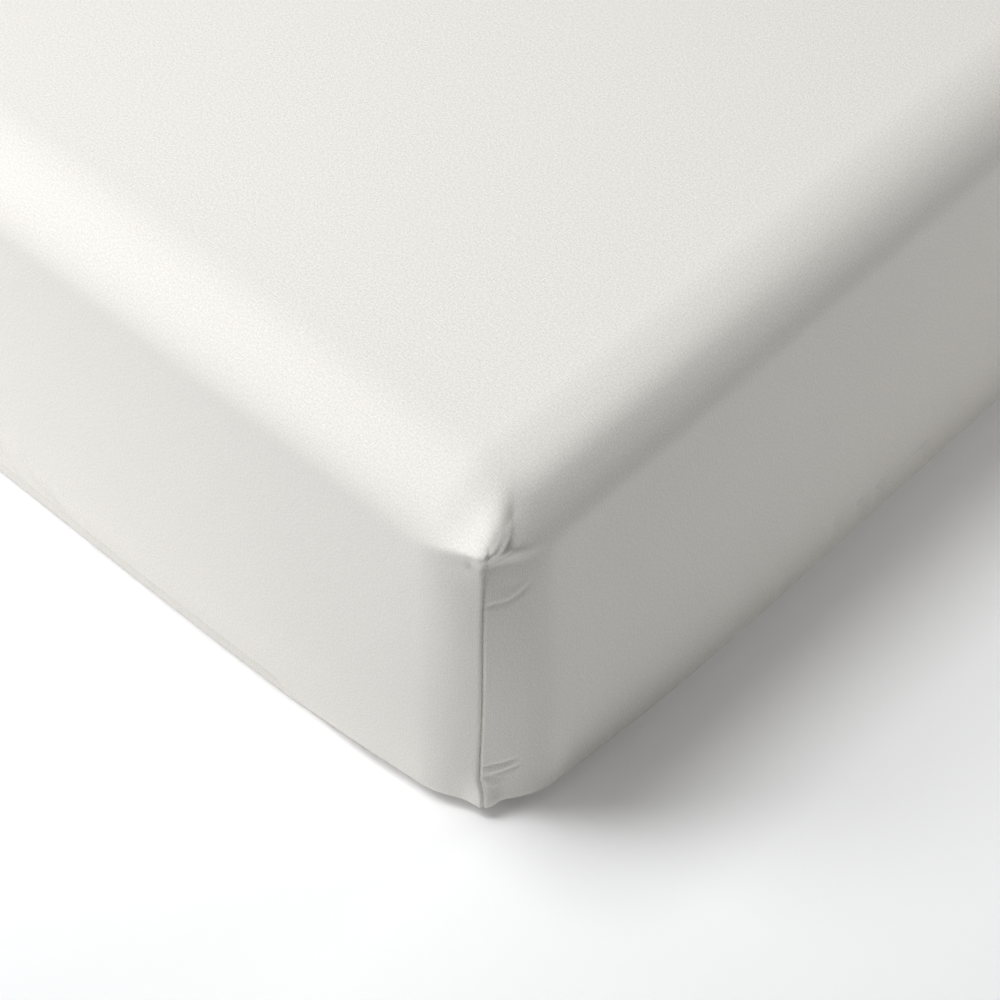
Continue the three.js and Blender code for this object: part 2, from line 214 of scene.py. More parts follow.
def smooth(share):
    t = np.clip(share, 0, 1)
    return t * t * (3 - 2 * t)


def mix(a, b, share):
    return a + (b - a) * share


def ramp(value, start, over):
    """A share that rises smoothly from 0 at the start to 1."""
    return smooth((value - start) / over)


def bell(gap, reach):
    """A share that is 1 at no gap and falls off both ways, to about a third at the reach."""
    return np.exp(-((gap / reach) ** 2))


class Cloth:
    """The taut cloth's outer surface, found from distances over the cloth."""

    ARC_SHARE = 1 - math.pi / 4
    LEAST = 1e-9
    # The corner's plan radius: how far down it is full, at the seam and past the ear, and what is left below
    CORNER_GROWN, CORNER_GROWN_PAST, CORNER_GROWN_REACH = 20.8 * MM, 30 * MM, 24 * MM
    CORNER_TUCKED = 10 * MM
    # How far from a seam its pull, gathers, lean, ear and bow reach
    PULL_REACH, GATHER_REACH, LEAN_REACH, EAR_REACH, BOW_REACH = 98 * MM, 60 * MM, 120 * MM, 15 * MM, 30 * MM
    # How far down a side the fold's own drop towards a corner is still felt
    SETTLE_FROM, SETTLE_OVER = 50 * MM, 150 * MM
    # A seam's ridge, the nib of cloth at its foot, and its sideways bows near the top and at the foot
    SEAM_RISE, SEAM_REACH, SEAM_RISEN_AT = 0.9 * MM, 7 * MM, 30 * MM
    NIB_RISE, NIB_REACH, NIB_BELOW, NIB_WIDTH = 3 * MM, 16 * MM, 6 * MM, 7.5 * MM
    UPPER_BOW, UPPER_BOW_OVER, UPPER_BOW_TO, UPPER_BOW_FADE = 2 * MM, 16 * MM, 55 * MM, 110 * MM
    FOOT_BOW, FOOT_BOW_FROM, FOOT_BOW_OVER = -2.0 * MM, 210 * MM, 14 * MM
    # The ear of cloth at the top of each corner, with a share for each, and the shoulder under it
    EAR_PULL, EAR_LENGTH, EAR_DROP, EAR_SEAM = 8.4 * MM, 13.8 * MM, 5.7 * MM, 20.4 * MM
    EAR_WIDTH, EAR_SOFT, EAR_EDGE, EAR_POWER, EAR_FROM_SEAM = 19.2 * MM, 11 * MM, 0.6, 3, 2.4 * MM
    EAR_SHARES, EAR_OUT, EAR_UP = (1, 0.35, 0.3, 0.4), 0.45, 0.77
    SHOULDER_SOFT, SHOULDER_SHARP, SHOULDER_BLEND = 4.3 * MM, -0.7 * MM, 3 * MM
    SHOULDER_AT, SHOULDER_REACH = 16.4 * MM, 16.2 * MM
    # The fuller top edge, and the side's hollow under it
    FULL_LONG, FULL_SHORT, FULL_AWAY, FULL_WIDTH = 1.5 * MM, -0.4 * MM, 5 * MM, 11 * MM
    FULL_FROM, FULL_OVER = 8 * MM, 30 * MM
    FULL_FADE, FULL_FADE_FROM, FULL_FADE_OVER = 0.85, 60 * MM, 200 * MM
    HOLLOW_LONG, HOLLOW_SHORT, HOLLOW_FROM, HOLLOW_OVER = 0.6 * MM, 1 * MM, 12 * MM, 50 * MM
    HOLLOW_TOP, HOLLOW_TOP_OVER, HOLLOW_FOOT, HOLLOW_FOOT_OVER = 12 * MM, 26 * MM, 60 * MM, 120 * MM
    # The hem: where it turns under near the corners, and how a short and a long side come down to it
    HEM_TURN_FROM, HEM_TURN_LENGTH, LEAST_UNDER = 155 * MM, 85 * MM, 4 * MM
    HEM_LEAN, HEM_LEAN_RISE, HEM_DROP, HEM_DROP_RISE = 5.2 * MM, 18 * MM, 4.5 * MM, 44 * MM
    HEM_TILT, HEM_STRAIGHT = math.radians(4), 1.5
    SHORT_FOOT_FROM, SHORT_FOOT_OVER, LONG_FOOT_FROM, LONG_FOOT_OVER = 70 * MM, 85 * MM, 12 * MM, 45 * MM
    LONG_LEAN, LONG_LEAN_RISE, LONG_FOOT_ROUND = 2.9 * MM, 60 * MM, 8 * MM
    # The hem's band and the gathers and dent that its stitches draw. The gathers' place is a share of the hem
    HEM_BAND_RISE, HEM_BAND_EDGE, HEM_DENT, HEM_DENT_WIDTH = 0.3 * MM, 1.5 * MM, 0.6 * MM, 1.1 * MM
    GATHER_RISE, GATHER_AT, GATHER_WIDTH = 0.42 * MM, 0.55, 0.7
    WOBBLES, WOBBLE_LENGTHS = (0.8, 0.5), (13 * MM, 7.1 * MM)
    # The seam's groove, lip, stitch dimples and puckers. A pair is for the cloth before the seam and past it
    SEAM_FROM, SEAM_OVER, GROOVE, GROOVE_WIDTH = 1.5 * MM, 4 * MM, 1.7 * MM, 0.75 * MM
    LIP, LIP_AT, LIP_WIDTH, DIMPLE, DIMPLE_WIDTH = (0, 0.12 * MM), 1.9 * MM, 1.1 * MM, 0.4 * MM, 0.9 * MM
    PUCKER, PUCKER_REACH, PUCKER_EVENNESS = (0.05 * MM, 0.16 * MM), (2.2 * MM, 4.6 * MM), 0.55
    PUCKER_DRIFTS = (11 * MM, 17 * MM)
    # Slow waves of the stuffing: rise, and length over which each axis turns by one radian
    SWELL, SWELL_LENGTHS, SWELL_BEND, SWELL_PHASE = 0.28 * MM, (47 * MM, 61 * MM, 60 * MM), 1.3, 0.8
    RIPPLE, RIPPLE_LENGTHS, RIPPLE_PHASES = 0.16 * MM, (23 * MM, 29 * MM, 41 * MM), (2.1, 0.4)
    # A fold's reach in half widths, and how thin its ends are
    FOLD_REACH, FOLD_TIP = 3.2, 0.06
    # The laid-out rows of a side's foot and of what turns under it, and the room under the cloth for stitches
    FOOT_BAND, UNDER_BAND, ROOM_FOR_STITCHES = 24 * MM, 24 * MM, 0.4 * MM

    def __init__(self, sizes):
        self.half = (sizes.width / 2, sizes.length / 2)
        self.depth, self.top_round, self.foot_round = sizes.depth, sizes.top_round, sizes.foot_round
        self.corner_upper, self.corner_lower, self.pull = sizes.corner_upper, sizes.corner_lower, sizes.pull
        self.hem, self.hem_at_corner = sizes.hem, sizes.hem_at_corner
        self.seam_stitch, self.hem_stitch = sizes.seam_stitch, sizes.hem_stitch
        self.hem_mid = (sizes.hem_mid_short, sizes.hem_mid_long)
        self.half_arc = self.top_round * math.pi / 4
        self.side_end = self.half_arc + self.depth - self.top_round - self.foot_round
        self.foot_end = self.side_end + self.foot_round * math.pi / 2
        self.flat_half = tuple(half - self.ARC_SHARE * self.top_round for half in self.half)
        size, edge = np.array([*self.half, self.depth]), self.top_round
        self.core_low = np.array([edge - size[0], edge - size[1], edge])
        self.core_high = size - edge
        self.fold_lines = [self.fold_line(row) for row in FOLDS]

    def half_along(self, way):
        """The distance over the cloth from the top's middle to its fold or seam, in the way given."""
        return self.flat_half[0 if way[0] else 1]

    def section(self, down):
        """The side's section from the top face to the floor: inset from the side's plane, and height."""
        angle = np.clip((down + self.half_arc) / self.top_round, 0, math.pi / 2)
        foot = np.clip((down - self.side_end) / self.foot_round, 0, math.pi / 2)
        on_top = np.maximum(-self.half_arc - down, 0)
        on_side = np.clip(down - self.half_arc, 0, self.side_end - self.half_arc)
        under = np.maximum(down - self.foot_end, 0)
        inset = on_top + self.top_round * (1 - np.sin(angle)) + self.foot_round * (1 - np.cos(foot)) + under
        height = self.depth - self.top_round * (1 - np.cos(angle)) - on_side - self.foot_round * np.sin(foot)
        return inset, height

    def corner_radius(self, along, down, inset):
        grown = mix(self.CORNER_GROWN, self.CORNER_GROWN_PAST, smooth(along / self.CORNER_GROWN_REACH))
        above = smooth(down / grown) * self.corner_upper
        below = smooth((down - self.half_arc) / (self.side_end - self.half_arc))
        radius = above + below * (self.corner_lower - self.corner_upper)
        return np.where(down <= self.side_end, radius, np.maximum(radius - inset, self.CORNER_TUCKED))

    def place(self, along, down, lean):
        """How far a place is along a side from its sharp corner, its inset from the side, and its height."""
        fold_inset, fold_height = self.section(-along)
        drop = self.depth - fold_height
        settled = smooth(down / self.half_arc)
        taken = settled * (1 - ramp(down, self.SETTLE_FROM, self.SETTLE_OVER))
        at_inset, at_height = self.section(down + taken * drop)
        radius = np.maximum(self.corner_radius(along, down, self.section(down)[0]), self.LEAST)
        gathered = at_inset + self.ARC_SHARE * (radius - self.top_round)
        gathered = gathered * (1 - np.exp(-along / self.GATHER_REACH))
        leaning = lean * smooth(down / self.depth) * np.exp(-along / self.LEAN_REACH)
        upper_bow = self.UPPER_BOW * smooth(down / self.UPPER_BOW_OVER)
        upper_bow = upper_bow * (1 - ramp(down, self.UPPER_BOW_TO, self.UPPER_BOW_FADE))
        foot_bow = self.FOOT_BOW * ramp(down, self.FOOT_BOW_FROM, self.FOOT_BOW_OVER)
        leaning = leaning + np.sign(lean) * (upper_bow + foot_bow) * np.exp(-along / self.BOW_REACH)
        arc = along - gathered + leaning
        turn = np.maximum(math.pi / 4 - arc / radius, 0)
        past = np.maximum(arc - math.pi / 4 * radius, 0)
        rounded = at_inset + radius * (1 - np.sin(turn)) + past
        inset = at_inset + radius * (1 - np.cos(turn))
        seam_inset = at_inset + radius * (1 - np.cos(math.pi / 4 + leaning / radius))
        square = fold_inset + (seam_inset - self.section(0.0)[0]) * np.exp(-along / self.EAR_REACH)
        drawn = self.pull * smooth(down / self.depth)
        nib = self.NIB_RISE * bell(down - self.side_end - self.NIB_BELOW, self.NIB_REACH)
        nib = nib * bell(along, self.NIB_WIDTH)
        risen = self.SEAM_RISE * smooth(down / self.SEAM_RISEN_AT) * np.exp(-along / self.SEAM_REACH) + nib
        return (
            mix(square, rounded, settled) + drawn * bell(2 * along, self.PULL_REACH) - risen,
            inset + drawn * bell(along, self.PULL_REACH) - risen,
            at_height - (1 - settled) * drop,
        )

    def foot_shape(self, axis, along, down):
        """Past the corners the foot is tighter: a short side leans in to its hem, a long side turns under."""
        foot = np.clip((down - self.side_end) / self.foot_round, 0, math.pi / 2)
        if axis == 0:
            lean = self.HEM_LEAN * np.clip((down - self.side_end) / self.HEM_LEAN_RISE + 1, 0, 1) ** 2
            drop = self.HEM_DROP * smooth((down - self.side_end) / self.HEM_DROP_RISE + 1)
            straight = np.clip(down - self.side_end, 0, self.HEM_STRAIGHT * self.hem_mid[0])
            inset = lean + straight * math.sin(self.HEM_TILT) - self.foot_round * (1 - np.cos(foot))
            height = self.foot_round * np.sin(foot) - drop - straight * math.cos(self.HEM_TILT)
            share = ramp(along, self.SHORT_FOOT_FROM, self.SHORT_FOOT_OVER)
        else:
            tighter = self.foot_round - self.LONG_FOOT_ROUND
            leaning = smooth((down - self.side_end) / self.LONG_LEAN_RISE + 1)
            inset = self.LONG_LEAN * leaning - tighter * (1 - np.cos(foot))
            height = tighter * (np.sin(foot) - leaning)
            share = ramp(along, self.LONG_FOOT_FROM, self.LONG_FOOT_OVER)
        return inset * share, height * share

    def along_seam(self, number, run):
        """Distance to the nearer corner seam, for a signed distance along a side from its middle."""
        return self.half_along(SIDES[number][2]) - np.abs(run)

    def on_side(self, number, run, down):
        name, out, way = SIDES[number]
        axis = 0 if way[0] else 1
        to_end = run > 0
        lean = np.where(to_end, SEAM_LEAN[name], -SEAM_LEAN[SIDES[number - 1][0]])
        along_seam = self.along_seam(number, run)
        along, inset, height = self.place(along_seam, down, lean)
        foot_inset, foot_height = self.foot_shape(axis, along_seam, down)
        inset, height = inset + foot_inset, np.maximum(height + foot_height, 0)
        run = np.where(to_end, 1, -1) * (self.half[axis] - along)
        far = self.half[1 - axis] - inset
        return np.stack([way[0] * run + out[0] * far, way[1] * run + out[1] * far, height], -1)

    def on_top(self, x, y):
        inset_x, height_x = self.section(np.abs(x) - self.flat_half[0])
        inset_y, height_y = self.section(np.abs(y) - self.flat_half[1])
        return np.stack([
            np.sign(x) * (self.half[0] - inset_x),
            np.sign(y) * (self.half[1] - inset_y),
            height_x + height_y - self.depth,
        ], -1)

    def hem_down(self, number, run):
        """How far down a side the hem's edge lies."""
        turned = smooth((self.HEM_TURN_FROM - self.along_seam(number, run)) / self.HEM_TURN_LENGTH)
        return self.side_end + mix(self.hem_mid[0 if SIDES[number][2][0] else 1], self.hem_at_corner, turned)

    def down_of_row(self, number, run, row):
        """Rows are even down to the side's end. Past it they are drawn out or in to reach the hem."""
        hem = self.hem_down(number, run)
        round_end = np.minimum(self.foot_end, hem - self.LEAST_UNDER)
        foot = np.clip((row - self.side_end) / self.FOOT_BAND, 0, 1)
        under = np.clip((row - self.side_end - self.FOOT_BAND) / self.UNDER_BAND, 0, 1)
        past = mix(mix(self.side_end, round_end, foot), hem, under)
        return np.where(row <= self.side_end, row, past)

    def fold_line(self, row):
        name, end, width, height, places = row
        number = [side[0] for side in SIDES].index(name)
        flat = self.half_along(SIDES[number][2])
        places = np.array(places) * MM
        run = (flat - places[:, 0]) * (1 if end == "end" else -1)
        down = places[:, 1]
        return self.on_side(number, run, down) + self.ears(number, run, down), width * MM, height * MM

    def outward(self, points):
        away = points - np.clip(points, self.core_low, self.core_high)
        return away / np.maximum(np.linalg.norm(away, axis=-1, keepdims=True), self.LEAST)

    def with_folds(self, points):
        """How far the folds near each place raise the cloth. A fold thins out to both its ends."""
        height = np.zeros(len(points))
        for line, width, rise in self.fold_lines:
            reach = self.FOLD_REACH * width
            inside = (points > line.min(0) - reach) & (points < line.max(0) + reach)
            near = np.flatnonzero(np.all(inside, axis=1))
            if not len(near):
                continue
            here = points[near]
            best = np.full(len(near), np.inf)
            share = np.zeros(len(near))
            steps = len(line) - 1
            for step in range(steps):
                start, span = line[step], line[step + 1] - line[step]
                t = np.clip((here - start) @ span / (span @ span), 0, 1)
                gap = ((here - start - t[:, None] * span) ** 2).sum(1)
                closer = gap < best
                best[closer] = gap[closer]
                share[closer] = (step + t[closer]) / steps
            thinning = np.sqrt(np.clip(1 - (2 * share - 1) ** 4, self.FOLD_TIP, 1))
            height[near] += rise * thinning * np.exp(-best / width ** 2)
        return height

    def seam_relief(self, number, run, down):
        """The groove of the corner seam, its lips, and the small puckers that its stitches draw beside it."""
        along = self.along_seam(number, run)
        before = run > 0
        there = ramp(down, self.SEAM_FROM, self.SEAM_OVER)
        lip = np.where(before, *self.LIP) * bell(along - self.LIP_AT, self.LIP_WIDTH)
        groove = self.GROOVE * bell(along, self.GROOVE_WIDTH)
        wave = np.cos(2 * math.pi * down / self.seam_stitch)
        drift = math.prod(
            np.sin(down / length + turn * number) for turn, length in enumerate(self.PUCKER_DRIFTS, 1))
        pucker = np.where(before, *self.PUCKER) * wave * mix(drift, 1, self.PUCKER_EVENNESS)
        pucker = pucker * bell(along, np.where(before, *self.PUCKER_REACH))
        dimple = self.DIMPLE * wave * bell(along, self.DIMPLE_WIDTH)
        return there * (lip - groove + pucker + dimple)

    def hem_relief(self, number, run, down):
        """The hem's thicker band, the dent along its stitches, and the gathers that they draw."""
        above = self.hem_down(number, run) - down
        wobble = sum(
            share * np.sin(run / length + turn * number)
            for turn, (share, length) in enumerate(zip(self.WOBBLES, self.WOBBLE_LENGTHS), 1))
        wave = np.sin(2 * math.pi * run / self.hem_stitch + wobble)
        dent = self.HEM_DENT * bell(above - self.hem, self.HEM_DENT_WIDTH)
        band = self.HEM_BAND_RISE * smooth((self.hem - above) / self.HEM_BAND_EDGE)
        gathered = bell(above - self.GATHER_AT * self.hem, self.GATHER_WIDTH * self.hem)
        return band - dent + self.GATHER_RISE * wave * gathered

    def fullness(self, number, away, along):
        """The top edge is fuller than a plain rounding. Away is the distance down the side from the fold."""
        rise = self.FULL_LONG if SIDES[number][2][1] else self.FULL_SHORT
        rise = rise * (1 - self.FULL_FADE * ramp(along, self.FULL_FADE_FROM, self.FULL_FADE_OVER))
        rise = rise * ramp(along, self.FULL_FROM, self.FULL_OVER)
        return rise * bell(away + self.FULL_AWAY, self.FULL_WIDTH)

    def top_relief(self, x, y):
        """The fullness of all four edges, for places on the top."""
        relief = np.zeros(len(x))
        for number, (_, out, way) in enumerate(SIDES):
            inside = self.half_along(out) - (x * out[0] + y * out[1])
            along = self.half_along(way) - np.abs(x * way[0] + y * way[1])
            relief += self.fullness(number, -inside, along)
        return relief

    def hollow(self, number, run, down):
        """The side is a little hollow between the top edge and the foot, where the mattress is softest."""
        depth = self.HOLLOW_LONG if SIDES[number][2][1] else self.HOLLOW_SHORT
        below = ramp(down, self.HOLLOW_TOP, self.HOLLOW_TOP_OVER)
        below = below * (1 - ramp(down, self.HOLLOW_FOOT, self.HOLLOW_FOOT_OVER))
        return -depth * below * ramp(self.along_seam(number, run), self.HOLLOW_FROM, self.HOLLOW_OVER)

    def ear_height(self, soft, sharp, down):
        """How far a corner's ear stands out. It falls off softly before the seam, and sharply past it."""
        soft, sharp, below = np.maximum(soft, 0), np.maximum(sharp, 0), np.maximum(down, 0)
        reach = self.EAR_LENGTH + np.maximum(-down, 0)
        round_edge = (sharp / reach) ** self.EAR_POWER + (below / self.EAR_DROP) ** self.EAR_POWER
        edge = 1 - smooth((round_edge ** (1 / self.EAR_POWER) - 1) / self.EAR_EDGE + 0.5)
        past_seam = smooth(sharp / self.EAR_FROM_SEAM)
        fall = mix(bell(below, self.EAR_SEAM), edge * bell(sharp, self.EAR_WIDTH), past_seam)
        ear = self.EAR_PULL * fall * bell(soft, self.EAR_SOFT)
        reached = below / self.SHOULDER_AT
        past_seam = smooth((sharp - soft) / self.SHOULDER_BLEND + 0.5)
        shoulder = mix(self.SHOULDER_SOFT, self.SHOULDER_SHARP, past_seam)
        shoulder = shoulder * bell(soft + sharp, self.SHOULDER_REACH)
        return ear + shoulder * (reached * np.exp(1 - reached)) ** 2

    def ears(self, number, u, v):
        """How each corner's ear pulls the cloth up and out, for a side's or (number -1) the top's places."""
        pull = np.zeros((len(u), 3))
        here = np.zeros(len(u))
        for corner, share in enumerate(self.EAR_SHARES):
            way, next_way = np.array(SIDES[corner][2]), np.array(SIDES[(corner + 1) % 4][2])
            if number < 0:
                soft = self.half_along(way) - (u * way[0] + v * way[1])
                sharp = self.half_along(next_way) + (u * next_way[0] + v * next_way[1])
                height = self.ear_height(soft, sharp, -soft)
            elif number == corner:
                height = self.ear_height(self.half_along(way) - u, here, v)
            elif number == (corner + 1) % 4:
                height = self.ear_height(here, self.half_along(next_way) + u, v)
            else:
                continue
            out = self.EAR_OUT * (way - next_way)
            pull += height[:, None] * np.array([*out, self.EAR_UP]) * share
        return pull

    def swell(self, points):
        """Slow unevenness of the stuffing under the cloth."""
        x, y, z = (points[:, axis] for axis in range(3))
        long_x, long_y, long_z = self.SWELL_LENGTHS
        short_x, short_y, short_z = self.RIPPLE_LENGTHS
        first, second = self.RIPPLE_PHASES
        bend = self.SWELL_BEND * np.sin(z / long_z)
        swell = np.sin(x / long_x + bend) * np.sin(y / long_y + self.SWELL_PHASE)
        ripple = np.sin(x / short_x + y / short_y + first) * np.sin(z / short_z + second)
        return self.SWELL * swell + self.RIPPLE * ripple

    def relief(self, number, run, down):
        edge = self.fullness(number, down, self.along_seam(number, run)) + self.hollow(number, run, down)
        return self.seam_relief(number, run, down) + self.hem_relief(number, run, down) + edge

    def finished(self, points, relief):
        rise = self.with_folds(points) + self.swell(points) + relief
        moved = points + self.outward(points) * rise[:, None]
        moved[:, 2] = np.clip(moved[:, 2], self.ROOM_FOR_STITCHES, None)
        return moved


def deselect_all():
    if bpy.context.object and bpy.context.object.mode != "OBJECT":
        bpy.ops.object.mode_set(mode="OBJECT")
    bpy.ops.object.select_all(action="DESELECT")


def select_only(piece):
    deselect_all()
    piece.select_set(True)
    bpy.context.view_layer.objects.active = piece


def new_piece(name, mesh):
    piece = bpy.data.objects.new(name, mesh)
    bpy.context.scene.collection.objects.link(piece)
    select_only(piece)
    return piece


def spaced(start, end, count):
    """Places in even steps from the start, which isn't one of them, to the end."""
    return [start + (end - start) * (k + 1) / count for k in range(count)]


def seam_lines(half, fine, even, coarse, even_until):
    """Distances of the cloth's lines from a seam, out to the middle of a panel."""
    lines = list(fine)
    until = min(even_until, half)
    lines += spaced(lines[-1], until, max(round((until - lines[-1]) / even), 1))
    lines += spaced(lines[-1], half, max(round((half - lines[-1]) / coarse), 0))
    lines[-1] = half
    return lines


# The cloth's first lines beside the seams, closer at the corner that the picture shows. Further out they
# follow in even steps, wider past the corner, and wider still past the last distance
VISIBLE_SEAM = [d * MM for d in (0, 0.5, 1, 1.6, 2.4, 3.3)] + [(3.3 + 1.156 * k) * MM for k in range(1, 25)]
OTHER_SEAM = [d * MM for d in (0, 0.7, 1.6, 3, 5.5, 9, 16, 24)]
VISIBLE_STEP, OTHER_STEP, WIDE_STEP, LONG_STEP = 16 * MM, 30 * MM, 32 * MM, 40 * MM
VISIBLE_UNTIL, OTHER_UNTIL = 400 * MM, 90 * MM
ROUND_ROWS, STRAIGHT_ROWS, FOOT_ROWS, UNDER_ROWS = 14, 12, 4, 3


def panel_lines(cloth):
    """Signed distances from the middle, across and along, of the lines that the cloth's facets follow."""
    fx, fy = cloth.flat_half
    arc = [cloth.half_arc]
    near_x = seam_lines(fx, VISIBLE_SEAM + arc, VISIBLE_STEP, WIDE_STEP, VISIBLE_UNTIL)
    far_x = seam_lines(fx, OTHER_SEAM + arc, OTHER_STEP, WIDE_STEP, OTHER_UNTIL)
    near_y = seam_lines(fy, VISIBLE_SEAM + arc, VISIBLE_STEP, LONG_STEP, VISIBLE_UNTIL)
    far_y = seam_lines(fy, OTHER_SEAM + arc, OTHER_STEP, LONG_STEP, OTHER_UNTIL)
    across = [d - fx for d in far_x] + [fx - d for d in reversed(near_x[:-1])]
    along = [d - fy for d in near_y] + [fy - d for d in reversed(far_y[:-1])]
    return across, along


def row_lines(cloth):
    foot_end = cloth.side_end + cloth.FOOT_BAND
    rows = [0.0] + spaced(0, cloth.half_arc, ROUND_ROWS)
    rows += spaced(cloth.half_arc, cloth.side_end, STRAIGHT_ROWS)
    rows += spaced(cloth.side_end, foot_end, FOOT_ROWS)
    return rows + spaced(foot_end, foot_end + cloth.UNDER_BAND, UNDER_ROWS)


# Facet sizes, from those of the finest creases to no limit, and the stitched hem's own
FINEST, FINE, MIDDLE, COARSE, ANY, HEM_FACET = 1.1 * MM, 2.2 * MM, 4.4 * MM, 8.8 * MM, 1.0, 1.5 * MM
# The largest facet wanted at a top fold, along it and across it, up to each distance (mm)
ALONG_FOLD = ((8.3, 1.1), (30.3, 1.6), (60.7, 2.2), (130.9, 4.4), (400.9, 8.8))
ACROSS_FOLD = ((14.3, 1.1), (40.3, 2.2), (70.7, 4.4), (200.9, 8.8))
# Distances along from a seam: its stitches, the low creases, all creases, the soft dents beside them, the
# start of the pull folds, and the end of what the picture shows. The last is for the other seams
STITCHED, LOW_CREASED, CREASED, DENTED = 4.9 * MM, 25.3 * MM, 30.3 * MM, 60.7 * MM
PULLED, SHOWN, OTHER_CREASED = 250.3 * MM, 400.9 * MM, 40.3 * MM
# Distances down from a top fold: the fold, the ear, the rounding, the low creases, the pull folds, the foot
# and the hem
AT_FOLD, EAR_ROWS, ROUNDED, LOW_FROM = 0.3 * MM, 34.3 * MM, 36.3 * MM, 180.3 * MM
PULL_FROM, FOOT_FROM, HEM_FROM = 192.7 * MM, 200.3 * MM, 216.7 * MM
# An edge this much longer than its limit is cut in two, in this many rounds at most
CUT_PAST, CUT_ROUNDS = 1.45, 6
# The edge of the hem's thicker band, and the distance at which the panels' shared edges are joined
HEM_STEP, JOINED = 0.6 * MM, 0.005 * MM


def facet_at(distance, steps):
    """The facet size of the first step that a distance lies within. Past the last there is no limit."""
    return np.select([distance < until * MM for until, _ in steps], [facet * MM for _, facet in steps], ANY)


def top_limit(along, across):
    """The largest facet on the top in one direction, at distances in it and across it from the corner."""
    limit = np.maximum(facet_at(along, ALONG_FOLD), facet_at(across, ACROSS_FOLD))
    return np.where((along < ROUNDED) & (across < SHOWN), np.minimum(limit, MIDDLE), limit)


def facet_limits(cloth, panel, u, v):
    """The largest facet wanted at each place of the laid-out cloth, along both of the panel's directions."""
    in_x, in_y = cloth.flat_half[0] - u, cloth.flat_half[1] + v
    front = panel == 1
    along = np.where(front, in_x, cloth.flat_half[1] + u)
    fold = facet_at(along, ALONG_FOLD)
    ear = np.where(v < EAR_ROWS, FINEST, FINE)
    near_hem = (v > PULL_FROM) & (along < SHOWN)
    low_creases = (~front) & (along < LOW_CREASED) & (v > LOW_FROM)
    run = np.where(v < AT_FOLD, fold, np.maximum(fold, ear))
    run = np.where(near_hem, np.minimum(run, MIDDLE), run)
    run = np.where(front & near_hem & (along > PULLED), np.minimum(run, FINE), run)
    run = np.where(front & near_hem & (v > HEM_FROM) & (along > DENTED), HEM_FACET, run)
    run = np.where(low_creases, FINEST, run)
    round_rows = (v < ROUNDED) | (v > FOOT_FROM)
    zones = [along < STITCHED, along < CREASED, (along < DENTED) | round_rows]
    down = np.select(zones, [FINEST, ear, MIDDLE], COARSE)
    down = np.where(front & near_hem & (along > DENTED), FINE, down)
    down = np.where(low_creases & (along > 1 * MM), FINEST, down)
    visible = ((panel == 1) | (panel == 2)) & (along <= SHOWN)
    half = np.where(panel % 2 == 1, *cloth.flat_half)
    other_near = np.minimum(half - np.abs(u), along) < OTHER_CREASED
    run = np.where(visible, run, ANY)
    down = np.where(visible, down, np.where(other_near, COARSE, ANY))
    on_top = panel == 0
    return np.where(on_top, top_limit(in_x, in_y), run), np.where(on_top, top_limit(in_y, in_x), down)


def laid_out_cloth(cloth):
    """The five panels laid out flat and apart: x and y are distances over the cloth, z is the panel."""
    across, along = panel_lines(cloth)
    rows = row_lines(cloth)
    grids = [(across, along), (across, rows), (along, rows)]
    grids += [([-place for place in reversed(lines)], rows) for lines in (across, along)]
    bm = bmesh.new()
    for panel, (columns, lines) in enumerate(grids):
        verts = [[bm.verts.new((x, y, panel)) for y in lines] for x in columns]
        for left, right in zip(verts, verts[1:]):
            for low in range(len(lines) - 1):
                ring = (left[low], right[low], right[low + 1], left[low + 1])
                bm.faces.new(ring if panel == 0 else ring[::-1])
    for _ in range(CUT_ROUNDS):
        bm.edges.ensure_lookup_table()
        ends = np.array([(*e.verts[0].co, *e.verts[1].co) for e in bm.edges])
        middle = (ends[:, :3] + ends[:, 3:]) / 2
        span = np.abs(ends[:, 3:] - ends[:, :3])
        limit_u, limit_v = facet_limits(cloth, np.round(middle[:, 2]), middle[:, 0], middle[:, 1])
        long = np.flatnonzero((span[:, 0] > CUT_PAST * limit_u) | (span[:, 1] > CUT_PAST * limit_v))
        if not len(long):
            break
        bmesh.ops.subdivide_edges(bm, edges=[bm.edges[i] for i in long], cuts=1, use_grid_fill=True,
                                  use_single_edge=True, quad_corner_type="INNER_VERT")
        many = [face for face in bm.faces if len(face.verts) > 4]
        if many:
            bmesh.ops.triangulate(bm, faces=many)
    return bm


